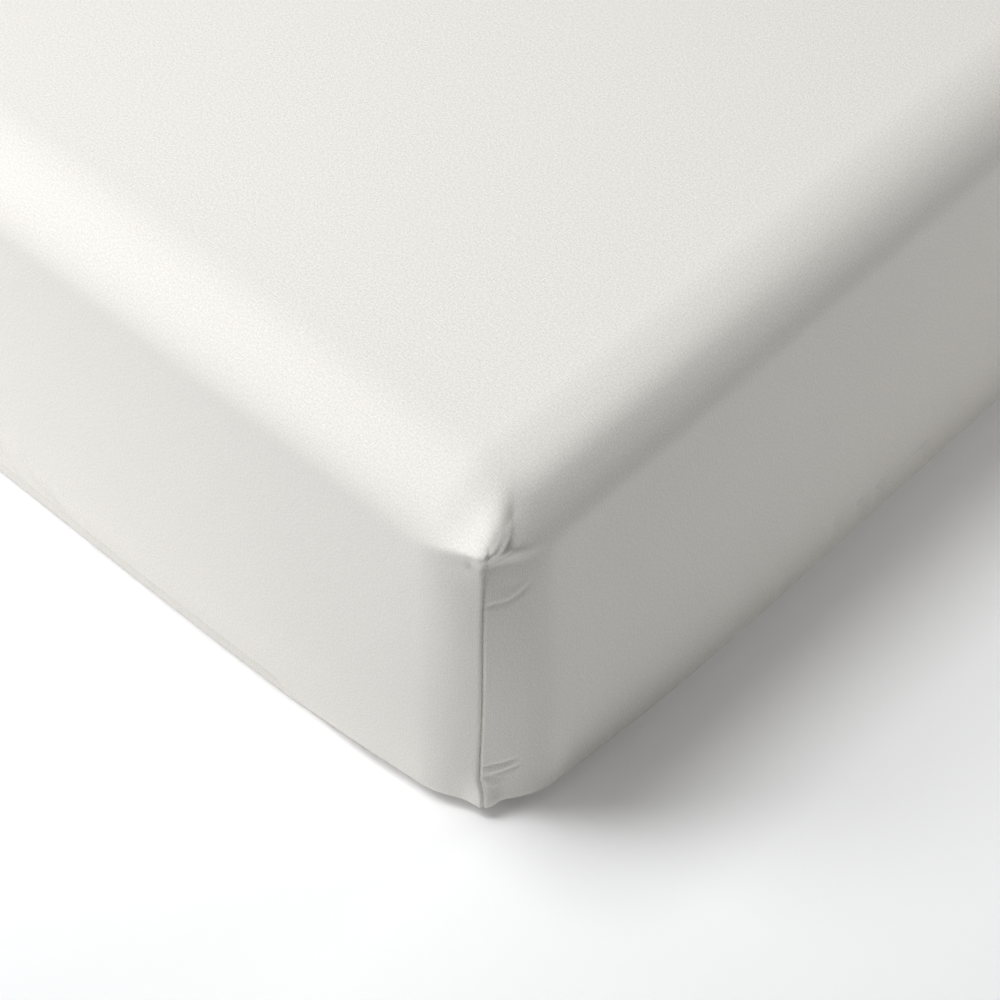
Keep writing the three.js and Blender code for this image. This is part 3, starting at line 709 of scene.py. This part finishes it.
def sewn_cloth(cloth):
    """The laid-out panels brought to their places on the mattress, and joined at their folds and seams."""
    bm = laid_out_cloth(cloth)
    bm.verts.ensure_lookup_table()
    flat = np.array([v.co for v in bm.verts])
    panel = np.round(flat[:, 2]).astype(int)
    places = np.zeros_like(flat)
    relief = np.zeros(len(flat))
    pattern = np.zeros((len(flat), 2))
    hem_band = np.zeros(len(flat))
    for number in range(-1, 4):
        here = panel == number + 1
        u, v = flat[here, 0], flat[here, 1]
        if number < 0:
            places[here] = cloth.on_top(u, v) + cloth.ears(number, u, v)
            relief[here] = cloth.top_relief(u, v)
            pattern[here] = flat[here, :2]
            continue
        down = cloth.down_of_row(number, u, v)
        places[here] = cloth.on_side(number, u, down) + cloth.ears(number, u, down)
        relief[here] = cloth.relief(number, u, down)
        out, way = np.array(SIDES[number][1]), np.array(SIDES[number][2])
        far = cloth.half_along(SIDES[number][1]) + down
        pattern[here] = way * u[:, None] + out * far[:, None]
        above = cloth.hem_down(number, u) - down
        hem_band[here] = smooth((cloth.hem + HEM_STEP - above) / HEM_STEP)
    places = cloth.finished(places, relief)
    uv = bm.loops.layers.uv.new("cut")
    group = bm.verts.layers.deform.verify()
    for face in bm.faces:
        face.smooth = True
        for loop in face.loops:
            loop[uv].uv = pattern[loop.vert.index]
    for vert, place, hem in zip(bm.verts, places.tolist(), hem_band.tolist()):
        vert.co = place
        vert[group][0] = hem
    bmesh.ops.remove_doubles(bm, verts=[vert for vert in bm.verts if vert.is_boundary], dist=JOINED)
    mesh = bpy.data.meshes.new("fitted_sheet_cloth")
    bm.to_mesh(mesh)
    bm.free()
    return mesh


# The hem's thickness in cloths, and the angle up to which the cloth's facets are shaded as one surface
HEM_LAYERS, SOFT_ANGLE = 3.2, math.radians(70)


def thickened(piece, thickness, group, least):
    """Gives the cloth its thickness, full in the vertex group and the least share of it elsewhere."""
    solidify = piece.modifiers.new("thickness", "SOLIDIFY")
    solidify.thickness = thickness
    solidify.offset = -1
    solidify.vertex_group = group
    solidify.thickness_vertex_group = least
    select_only(piece)
    bpy.ops.object.modifier_apply(modifier=solidify.name)
    bpy.ops.object.shade_smooth_by_angle(angle=SOFT_ANGLE)


def socketed_group(name, inputs, outputs):
    """A new shader node group with the sockets given, and its input and output nodes."""
    tree = bpy.data.node_groups.new(name, "ShaderNodeTree")
    for label, kind, value in inputs:
        socket = tree.interface.new_socket(label, in_out="INPUT", socket_type=kind)
        if value is not None:
            socket.default_value = value
    for label, kind in outputs:
        tree.interface.new_socket(label, in_out="OUTPUT", socket_type=kind)
    return tree, tree.nodes.new("NodeGroupInput"), tree.nodes.new("NodeGroupOutput")


def math_node(tree, operation, first, second=None, third=None):
    node = tree.nodes.new("ShaderNodeMath")
    node.operation = operation
    for socket, value in zip(node.inputs, (first, second, third)):
        if value is None:
            continue
        if isinstance(value, (int, float)):
            socket.default_value = value
        else:
            tree.links.new(value, socket)
    return node.outputs[0]


def noise_node(tree, vector, scale, detail, roughness=0.5):
    node = tree.nodes.new("ShaderNodeTexNoise")
    node.inputs["Scale"].default_value = scale
    node.inputs["Detail"].default_value = detail
    node.inputs["Roughness"].default_value = roughness
    tree.links.new(vector, node.inputs["Vector"])
    return node.outputs["Fac"]


# Noise scales of the cotton: slow drift of the yarns, fibres, patches where the weave's painted shade and
# highlight are stronger, and lint, which shows where its noise is above the last number
DRIFT_SCALE, FIBRE_SCALE, PATCH_SCALE, LINT_SCALE, LINT_ABOVE = 210, 1000, 160, 620, 0.80
# The fibres' part in the weave's height, the patches' strength, and what the yarns and fibres add to its
# tone:
# the yarns add painted shade in the gaps and painted highlight on their tops, the fibres add random tone
FIBRE_RISE, PATCH_STRENGTH, GRID_MIDDLE, WEAVE_SHADE_TONE, FIBRE_TONE, TONE_START = 0.8, 1.4, 0.6, 0.5, 2.2, -0.6
# The painted shade in the cloth's darkest gaps and the painted highlight on its lightest yarns at full
# relief, its lint, and the weave's rise in yarn pitches
GAP_SHADE, YARN_LIGHT, LINT_LIGHT, YARN_RISE = 0.21, 0.18, 1.09, 0.06


def plain_weave():
    """Plain weave: the yarns' height, the tone of yarns and gaps as painted highlight and painted shade with
    the fibres' random tone, and lint, uneven as in real cotton.
    """
    name = "plain_weave"
    if name in bpy.data.node_groups:
        return bpy.data.node_groups[name]
    number = "NodeSocketFloat"
    tree, start, end = socketed_group(
        name, [("Vector", "NodeSocketVector", None), ("Pitch", number, 0.001), ("Unevenness", number, 1.1)],
        [("Height", number), ("Tone", number), ("Lint", number)])
    vector = start.outputs["Vector"]
    split = tree.nodes.new("ShaderNodeSeparateXYZ")
    tree.links.new(vector, split.inputs[0])
    drift = math_node(tree, "SUBTRACT", noise_node(tree, vector, DRIFT_SCALE, detail=3), 0.5)
    drift = math_node(tree, "MULTIPLY", drift, start.outputs["Unevenness"])
    yarns = []
    for axis in ("X", "Y"):
        turns = math_node(tree, "DIVIDE", split.outputs[axis], start.outputs["Pitch"])
        turns = math_node(tree, "MULTIPLY", math_node(tree, "ADD", turns, drift), math.pi)
        yarns.append(math_node(tree, "SINE", turns))
    warp, weft = yarns
    over = math_node(tree, "MULTIPLY_ADD", math_node(tree, "MULTIPLY", warp, weft), 0.5, 0.5)
    under = math_node(tree, "SUBTRACT", 1.0, over)
    warp_height = math_node(tree, "MULTIPLY", math_node(tree, "ABSOLUTE", warp), over)
    weft_height = math_node(tree, "MULTIPLY", math_node(tree, "ABSOLUTE", weft), under)
    height = math_node(tree, "ADD", warp_height, weft_height)
    fibre = noise_node(tree, vector, FIBRE_SCALE, detail=3, roughness=0.75)
    patches = noise_node(tree, vector, PATCH_SCALE, detail=3, roughness=0.6)
    strength = math_node(tree, "MULTIPLY", patches, PATCH_STRENGTH)
    # Painted shade and highlight: the gaps darker and the raised yarns lighter, more strongly in patches
    grid = math_node(tree, "MULTIPLY", math_node(tree, "SUBTRACT", height, GRID_MIDDLE), strength)
    tree.links.new(math_node(tree, "MULTIPLY_ADD", fibre, FIBRE_RISE, height), end.inputs["Height"])
    fibre_tone = math_node(tree, "MULTIPLY_ADD", fibre, FIBRE_TONE, TONE_START)
    tree.links.new(math_node(tree, "MULTIPLY_ADD", grid, WEAVE_SHADE_TONE, fibre_tone), end.inputs["Tone"])
    lint = noise_node(tree, vector, LINT_SCALE, detail=0)
    tree.links.new(math_node(tree, "GREATER_THAN", lint, LINT_ABOVE), end.inputs["Lint"])
    return tree


def mixed_colour(tree, factor, first, second):
    node = tree.nodes.new("ShaderNodeMix")
    node.data_type = "RGBA"
    node.clamp_factor = True
    tree.links.new(factor, node.inputs["Factor"])
    for name, value in (("A", first), ("B", second)):
        if isinstance(value, tuple):
            node.inputs[name].default_value = value
        else:
            tree.links.new(value, node.inputs[name])
    return node.outputs["Result"]


def shade_of(colour, share):
    return (*[min(channel * share, 1) for channel in colour], 1)


def cloth_material(name, colour, pitch, relief, roughness, uv_map=None):
    """Matt woven cloth. It reads its own cut pattern where it has one, and Object coordinates elsewhere."""
    material = bpy.data.materials.new(name)
    material.use_nodes = True
    tree = material.node_tree
    shader = tree.nodes["Principled BSDF"]
    if uv_map:
        where = tree.nodes.new("ShaderNodeUVMap")
        where.uv_map = uv_map
        vector = where.outputs["UV"]
    else:
        vector = tree.nodes.new("ShaderNodeTexCoord").outputs["Object"]
    weave = tree.nodes.new("ShaderNodeGroup")
    weave.node_tree = plain_weave()
    weave.inputs["Pitch"].default_value = pitch
    tree.links.new(vector, weave.inputs["Vector"])
    # Painted shade in the weave's gaps and painted highlight on its yarns: darker and lighter copies of the
    # colour, mixed by the weave's tone
    dark, light = shade_of(colour, 1 - GAP_SHADE * relief), shade_of(colour, 1 + YARN_LIGHT * relief)
    woven = mixed_colour(tree, weave.outputs["Tone"], dark, light)
    linted = mixed_colour(tree, weave.outputs["Lint"], woven, shade_of(colour, LINT_LIGHT))
    tree.links.new(linted, shader.inputs["Base Color"])
    bump = tree.nodes.new("ShaderNodeBump")
    bump.inputs["Strength"].default_value = relief
    bump.inputs["Distance"].default_value = pitch * YARN_RISE
    tree.links.new(weave.outputs["Height"], bump.inputs["Height"])
    tree.links.new(bump.outputs["Normal"], shader.inputs["Normal"])
    shader.inputs["Roughness"].default_value = roughness
    shader.inputs["Specular IOR Level"].default_value = 0.25
    shader.inputs["Sheen Weight"].default_value = 0.08
    shader.inputs["Sheen Roughness"].default_value = 0.6
    return material


class BEDDING_OT_fitted_sheet(bpy.types.Operator):
    """Make the fitted sheet: one cloth with a sewn seam at each corner and a hem drawn in underneath"""

    bl_idname = "bedding.fitted_sheet"
    bl_label = "Fitted Sheet"

    def execute(self, context):
        sizes, looks = context.scene.fitted_sheet_sizes, context.scene.fitted_sheet_looks
        sheet = new_piece("fitted_sheet_cloth", sewn_cloth(Cloth(sizes)))
        sheet.vertex_groups.new(name="hem")
        thickened(sheet, HEM_LAYERS * sizes.cloth, "hem", 1 / HEM_LAYERS)
        sheet.data.materials.append(cloth_material(
            "off_white_cotton", looks.cotton, pitch=looks.yarn_pitch, relief=looks.yarn_relief, roughness=0.9,
            uv_map="cut"))
        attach(sheet, "root")
        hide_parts("fitted_sheet")
        return {"FINISHED"}


# A stitch is cut across at these shares of its length, thinner at its ends, which dip into the cloth
STITCH_CUTS, STITCH_SIDES, STITCH_TAPER, STITCH_DIP = (-0.32, -0.1, 0.1, 0.32), 6, 0.35, 2.2


def stitch_mesh(length, radius):
    """One stitch: a short thread that dips into the cloth at both ends, along X with its outside at +Z."""
    deselect_all()
    bpy.ops.mesh.primitive_cylinder_add(
        vertices=STITCH_SIDES, radius=radius, depth=length, rotation=(0, math.pi / 2, 0))
    stitch = bpy.context.object
    bpy.ops.object.transform_apply(location=True, rotation=True, scale=True)
    bpy.ops.object.mode_set(mode="EDIT")
    for share in STITCH_CUTS:
        bpy.ops.mesh.select_all(action="SELECT")
        bpy.ops.mesh.bisect(plane_co=(share * length, 0, 0), plane_no=(1, 0, 0))
    bpy.ops.object.mode_set(mode="OBJECT")
    mesh = stitch.data.copy()
    bpy.data.objects.remove(stitch)
    for vert in mesh.vertices:
        end = (2 * vert.co.x / length) ** 4
        vert.co.y *= 1 - STITCH_TAPER * end
        vert.co.z = vert.co.z * (1 - STITCH_TAPER * end) - STITCH_DIP * radius * end
    return mesh


def sewn_lines(name, stitch, lines):
    """Copies of one stitch along lines of places on the cloth, joined in one mesh."""
    places, forward, outward = (np.concatenate(part) for part in zip(*lines))
    local = np.array([v.co for v in stitch.vertices])
    faces = [list(p.vertices) for p in stitch.polygons]
    axes = np.stack([forward, np.cross(outward, forward), outward], axis=1)
    verts = places[:, None, :] + np.einsum("vk,nkc->nvc", local, axes)
    count = len(local)
    every = [[i * count + k for k in face] for i in range(len(places)) for face in faces]
    mesh = bpy.data.meshes.new(name)
    mesh.from_pydata(verts.reshape(-1, 3).tolist(), [], every)
    mesh.polygons.foreach_set("use_smooth", [True] * len(mesh.polygons))
    return new_piece(name, mesh)


# Stitches: the step over which a line's way is measured, then for the seams and for the hem a stitch's share
# of its pitch and its thread's radius. A seam's line starts under the fold, ends past the side and lies next
# to the groove's middle. The hem's lines leave room at their ends, and lie on the cloth
LINE_STEP = 0.3 * MM
SEAM_SHARE, SEAM_THREAD, SEAM_START, SEAM_PAST, SEAM_ASIDE = 0.55, 0.16 * MM, 6 * MM, 4 * MM, 0.25 * MM
HEM_SHARE, HEM_THREAD, HEM_ENDS, HEM_LIFT = 0.72, 0.19 * MM, 4 * MM, 0.10 * MM


def unit(vectors):
    return vectors / np.maximum(np.linalg.norm(vectors, axis=-1, keepdims=True), Cloth.LEAST)


def line_on_cloth(cloth, number, run, down, lift, downwards):
    """Places on the finished cloth, the way that the line runs there, and the way out of the cloth."""
    def at(run, down):
        base = cloth.on_side(number, run, down) + cloth.ears(number, run, down)
        return cloth.finished(base, cloth.relief(number, run, down))
    here = at(run, down)
    along_run = unit(at(run + LINE_STEP, down) - at(run - LINE_STEP, down))
    along_down = unit(at(run, down + LINE_STEP) - at(run, down - LINE_STEP))
    outward = unit(np.cross(along_down, along_run))
    outward = np.where((outward * cloth.outward(here)).sum(1, keepdims=True) < 0, -outward, outward)
    forward = along_down if downwards else along_run
    forward = unit(forward - outward * (forward * outward).sum(1, keepdims=True))
    return here + outward * lift, forward, outward


class BEDDING_OT_corner_stitches(bpy.types.Operator):
    """Sew the four corner seams: short stitches that show in the groove of each seam"""

    bl_idname = "bedding.corner_stitches"
    bl_label = "Corner Stitches"

    def execute(self, context):
        sizes, looks = context.scene.fitted_sheet_sizes, context.scene.fitted_sheet_looks
        cloth = Cloth(sizes)
        lines = []
        for number, (_, _, way) in enumerate(SIDES):
            down = np.arange(SEAM_START, cloth.side_end + SEAM_PAST, sizes.seam_stitch)
            run = np.full(len(down), cloth.half_along(way) - SEAM_ASIDE)
            lines.append(line_on_cloth(cloth, number, run, down, 0, True))
        stitch = stitch_mesh(SEAM_SHARE * sizes.seam_stitch, SEAM_THREAD)
        seams = sewn_lines("corner_seam_thread", stitch, lines)
        seams.data.materials.append(
            cloth_material("cotton_thread", looks.thread, pitch=0.0004, relief=0.4, roughness=0.75))
        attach(seams, "root")
        return {"FINISHED"}


class BEDDING_OT_hem_stitches(bpy.types.Operator):
    """Sew the hem: one row of stitches round the sheet, at the top of the turned-up hem"""

    bl_idname = "bedding.hem_stitches"
    bl_label = "Hem Stitches"

    def execute(self, context):
        sizes = context.scene.fitted_sheet_sizes
        cloth = Cloth(sizes)
        lines = []
        for number, (_, _, way) in enumerate(SIDES):
            count = int((2 * cloth.half_along(way) - HEM_ENDS) / sizes.hem_stitch)
            run = (np.arange(count) - (count - 1) / 2) * sizes.hem_stitch
            down = cloth.hem_down(number, run) - cloth.hem
            lines.append(line_on_cloth(cloth, number, run, down, HEM_LIFT, False))
        stitch = stitch_mesh(HEM_SHARE * sizes.hem_stitch, HEM_THREAD)
        hem = sewn_lines("hem_thread", stitch, lines)
        hem.data.materials.append(bpy.data.materials["cotton_thread"])
        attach(hem, "root")
        return {"FINISHED"}


# The mattress: its edges' radii, how far its foot is drawn in, and the gap under it, which its middle fills
TOP_EDGE, FOOT_EDGE, UPPER_CORNER, LOWER_CORNER, LEAST_CORNER = 44 * MM, 26 * MM, 56 * MM, 64 * MM, 10 * MM
FOOT_DRAWN, FLOOR_GAP = 12 * MM, 1.8 * MM
# Its levels below the foot's edge, each an inset and a height, and the steps of its roundings and its side
UNDER_LEVELS = ((80 * MM, FLOOR_GAP), (110 * MM, 0.4 * MM), (122 * MM, 0))
TOP_STEPS, SIDE_STEPS, FOOT_STEPS, CORNER_STEPS = 8, 6, 6, 6
# Where its side is cut, measured from a corner's end
PAST_CORNER = [past * MM for past in (0, 15, 30, 50, 75, 100, 140, 190, 240)]


def mattress_levels(top):
    """Inset, height and plan radius of each level of the mattress, from the top down to its middle below."""
    levels = []
    for k in range(TOP_STEPS + 1):
        turn = math.pi / 2 * k / TOP_STEPS
        height = top - TOP_EDGE * (1 - math.cos(turn))
        levels.append((TOP_EDGE * (1 - math.sin(turn)), height, UPPER_CORNER))
    straight = top - TOP_EDGE - FOOT_EDGE - FLOOR_GAP
    for k in range(1, SIDE_STEPS):
        share = k / SIDE_STEPS
        levels.append((0, top - TOP_EDGE - straight * share, mix(UPPER_CORNER, LOWER_CORNER, share)))
    for k in range(FOOT_STEPS + 1):
        turn = math.pi / 2 * k / FOOT_STEPS
        height = FLOOR_GAP + FOOT_EDGE * (1 - math.sin(turn))
        levels.append((FOOT_EDGE * (1 - math.cos(turn)), height, LOWER_CORNER))
    return levels + [(inset, height, LOWER_CORNER) for inset, height in UNDER_LEVELS]


def mattress_ring(half, inset, radius, height, cloth):
    """One level of the mattress: a rectangle with round corners, drawn in a little near the floor."""
    drawn = FOOT_DRAWN * float(smooth((cloth.depth - height) / cloth.depth))
    turns = [math.pi / 4 * k / CORNER_STEPS for k in range(1, CORNER_STEPS)]
    marks = [(-1, turn, 0) for turn in (math.pi / 4, *reversed(turns))]
    marks += [(-1, 0, past) for past in PAST_CORNER] + [(1, 0, past) for past in reversed(PAST_CORNER)]
    marks += [(1, turn, 0) for turn in turns]
    ring = []
    for _, out, way in SIDES:
        half_run, half_out = (half.x, half.y) if way[0] else (half.y, half.x)
        for sign, turn, past in marks:
            from_seam = radius * (math.pi / 4 - turn) + past
            along = inset + radius * (1 - math.sin(turn)) + past
            run = sign * (half_run - along - drawn * bell(2 * from_seam, cloth.PULL_REACH))
            far = half_out - inset - radius * (1 - math.cos(turn)) - drawn * bell(from_seam, cloth.PULL_REACH)
            ring.append((way[0] * run + out[0] * far, way[1] * run + out[1] * far, height))
    return ring


def mattress_mesh(cloth, low, high):
    """A block with rounded edges, its foot drawn in a little, clear of the cloth all round."""
    bm = bmesh.new()
    rings = []
    for inset, height, corner in mattress_levels(high.z):
        ring = mattress_ring((high - low) / 2, inset, max(corner - inset, LEAST_CORNER), height, cloth)
        rings.append([bm.verts.new(point) for point in ring])
    for upper, lower in zip(rings, rings[1:]):
        for i in range(len(upper)):
            j = (i + 1) % len(upper)
            bm.faces.new((upper[i], lower[i], lower[j], upper[j]))
    bm.faces.new(rings[0])
    bm.faces.new(rings[-1][::-1])
    bmesh.ops.triangulate(bm, faces=[face for face in bm.faces if len(face.verts) > 4])
    for face in bm.faces:
        face.smooth = True
    mesh = bpy.data.meshes.new("mattress_pad")
    bm.to_mesh(mesh)
    bm.free()
    return mesh


class BEDDING_OT_mattress(bpy.types.Operator):
    """Make the plain mattress that the sheet is stretched over"""

    bl_idname = "bedding.mattress"
    bl_label = "Mattress"

    def execute(self, context):
        sizes, looks = context.scene.fitted_sheet_sizes, context.scene.fitted_sheet_looks
        pad = new_piece("mattress_pad", mattress_mesh(Cloth(sizes), *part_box("mattress")))
        pad.data.materials.append(
            cloth_material("mattress_cover", looks.ticking, pitch=0.0009, relief=0.6, roughness=0.92))
        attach(pad, "root")
        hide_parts("mattress")
        return {"FINISHED"}


def area_light(name, place, target, size, power, colour):
    light = bpy.data.lights.new(name, "AREA")
    light.shape = "DISK"
    light.size = size
    light.energy = power
    light.color = colour
    lamp = bpy.data.objects.new(name, light)
    bpy.context.scene.collection.objects.link(lamp)
    lamp.location = place
    lamp.rotation_euler = (Vector(target) - Vector(place)).to_track_quat("-Z", "Y").to_euler()


COOL, WARM = (0.985, 0.992, 1.0), (1.0, 0.99, 0.97)
# Name, azimuth from +X and elevation (degrees), distance and size (m), power (W), colour
LIGHTS = (
    ("key_light", 225, 75, 2.4, 0.8, 29.9, COOL),
    ("front_light", 225, 55, 2.4, 0.8, 16.2, COOL),
    ("side_light", 250, 65, 2.4, 0.8, 5.4, COOL),
    ("low_light", 225, 12, 1.6, 0.6, 5.8, COOL),
    ("back_fill", 75, 8, 2.4, 1.0, 24.2, WARM),
)
# The lights aim here. The floor lies just under the cloth, and the camera looks past the corner by these
LIT_PLACE, FLOOR_WIDTH, FLOOR_HEIGHT = Vector((0.35, -0.9, 0.12)), 24, -0.2 * MM
CAMERA_RIGHT, CAMERA_UP, CAMERA_FRAME = 4.2 * MM, 19 * MM, 36


def toward(azimuth, elevation):
    """The unit vector at an azimuth from +X and an elevation, in degrees."""
    a, e = math.radians(azimuth), math.radians(elevation)
    return Vector((math.cos(e) * math.cos(a), math.cos(e) * math.sin(a), math.sin(e)))


class BEDDING_OT_room(bpy.types.Operator):
    """Lay a plain pale floor, and set the soft light and the camera"""

    bl_idname = "bedding.room"
    bl_label = "Floor, Light and Camera"

    def execute(self, context):
        room = context.scene.fitted_sheet_room
        deselect_all()
        bpy.ops.mesh.primitive_plane_add(size=FLOOR_WIDTH, location=(0, 0, FLOOR_HEIGHT))
        floor = bpy.context.object
        floor.name = "floor"
        paint = bpy.data.materials.new("floor_paint_and_glow")
        paint.use_nodes = True
        shader = paint.node_tree.nodes["Principled BSDF"]
        shader.inputs["Base Color"].default_value = (*room.floor, 1)
        shader.inputs["Roughness"].default_value = 0.9
        shader.inputs["Specular IOR Level"].default_value = 0.1
        # Painted light: the floor glows faintly, lifting it and its shadow towards white and adding fill
        # light on the cloth from below
        shader.inputs["Emission Color"].default_value = (1, 1, 1, 1)
        shader.inputs["Emission Strength"].default_value = 0.065
        floor.data.materials.append(paint)
        world = bpy.data.worlds.new("studio")
        world.use_nodes = True
        world.node_tree.nodes["Background"].inputs["Color"].default_value = (1, 1, 1, 1)
        world.node_tree.nodes["Background"].inputs["Strength"].default_value = 0.03
        context.scene.world = world
        for name, azimuth, elevation, distance, size, power, colour in LIGHTS:
            place = LIT_PLACE + toward(azimuth, elevation) * distance
            area_light(name, place, LIT_PLACE, size, power, colour)
        context.scene.view_settings.view_transform = "Standard"
        sin_a, cos_a = math.sin(room.azimuth), math.cos(room.azimuth)
        sin_e, cos_e = math.sin(room.elevation), math.cos(room.elevation)
        back = Vector((sin_a * cos_e, -cos_a * cos_e, sin_e))
        right = Vector((cos_a, sin_a, 0))
        up = back.cross(right)
        corner = Vector((SHEET_HIGH.x, SHEET_LOW.y, SHEET_HIGH.z))
        place = corner + right * CAMERA_RIGHT + up * CAMERA_UP + back * room.distance
        camera_data = bpy.data.cameras.new("camera")
        camera_data.sensor_width = CAMERA_FRAME
        camera_data.lens = room.lens
        camera = bpy.data.objects.new("camera", camera_data)
        context.scene.collection.objects.link(camera)
        camera.matrix_world = Matrix.Translation(place) @ Matrix((right, up, back)).transposed().to_4x4()
        context.scene.camera = camera
        return {"FINISHED"}


class BEDDING_PT_panel(bpy.types.Panel):
    """Sizes, looks and steps of the fitted sheet"""

    bl_label = "Fitted Sheet on a Mattress"
    bl_idname = "BEDDING_PT_panel"
    bl_space_type = "VIEW_3D"
    bl_region_type = "UI"
    bl_category = "Bedding"

    def draw(self, context):
        layout = self.layout
        for name in ("fitted_sheet_sizes", "fitted_sheet_looks", "fitted_sheet_room"):
            group = getattr(context.scene, name)
            box = layout.box()
            for key in group.__annotations__:
                box.prop(group, key)
        for step in STEPS:
            layout.operator(step.bl_idname)


STEPS = (
    BEDDING_OT_fitted_sheet,
    BEDDING_OT_corner_stitches,
    BEDDING_OT_hem_stitches,
    BEDDING_OT_mattress,
    BEDDING_OT_room,
)
CLASSES = (SheetSizes, ClothLooks, RoomSettings, *STEPS, BEDDING_PT_panel)


def register():
    for cls in CLASSES:
        bpy.utils.register_class(cls)
    bpy.types.Scene.fitted_sheet_sizes = bpy.props.PointerProperty(type=SheetSizes)
    bpy.types.Scene.fitted_sheet_looks = bpy.props.PointerProperty(type=ClothLooks)
    bpy.types.Scene.fitted_sheet_room = bpy.props.PointerProperty(type=RoomSettings)


def unregister():
    del bpy.types.Scene.fitted_sheet_room
    del bpy.types.Scene.fitted_sheet_looks
    del bpy.types.Scene.fitted_sheet_sizes
    for cls in reversed(CLASSES):
        bpy.utils.unregister_class(cls)


def main():
    register()
    bpy.ops.bedding.fitted_sheet()
    bpy.ops.bedding.corner_stitches()
    bpy.ops.bedding.hem_stitches()
    bpy.ops.bedding.mattress()
    bpy.ops.bedding.room()
    bpy.context.view_layer.update()


if __name__ == "__main__":
    main()
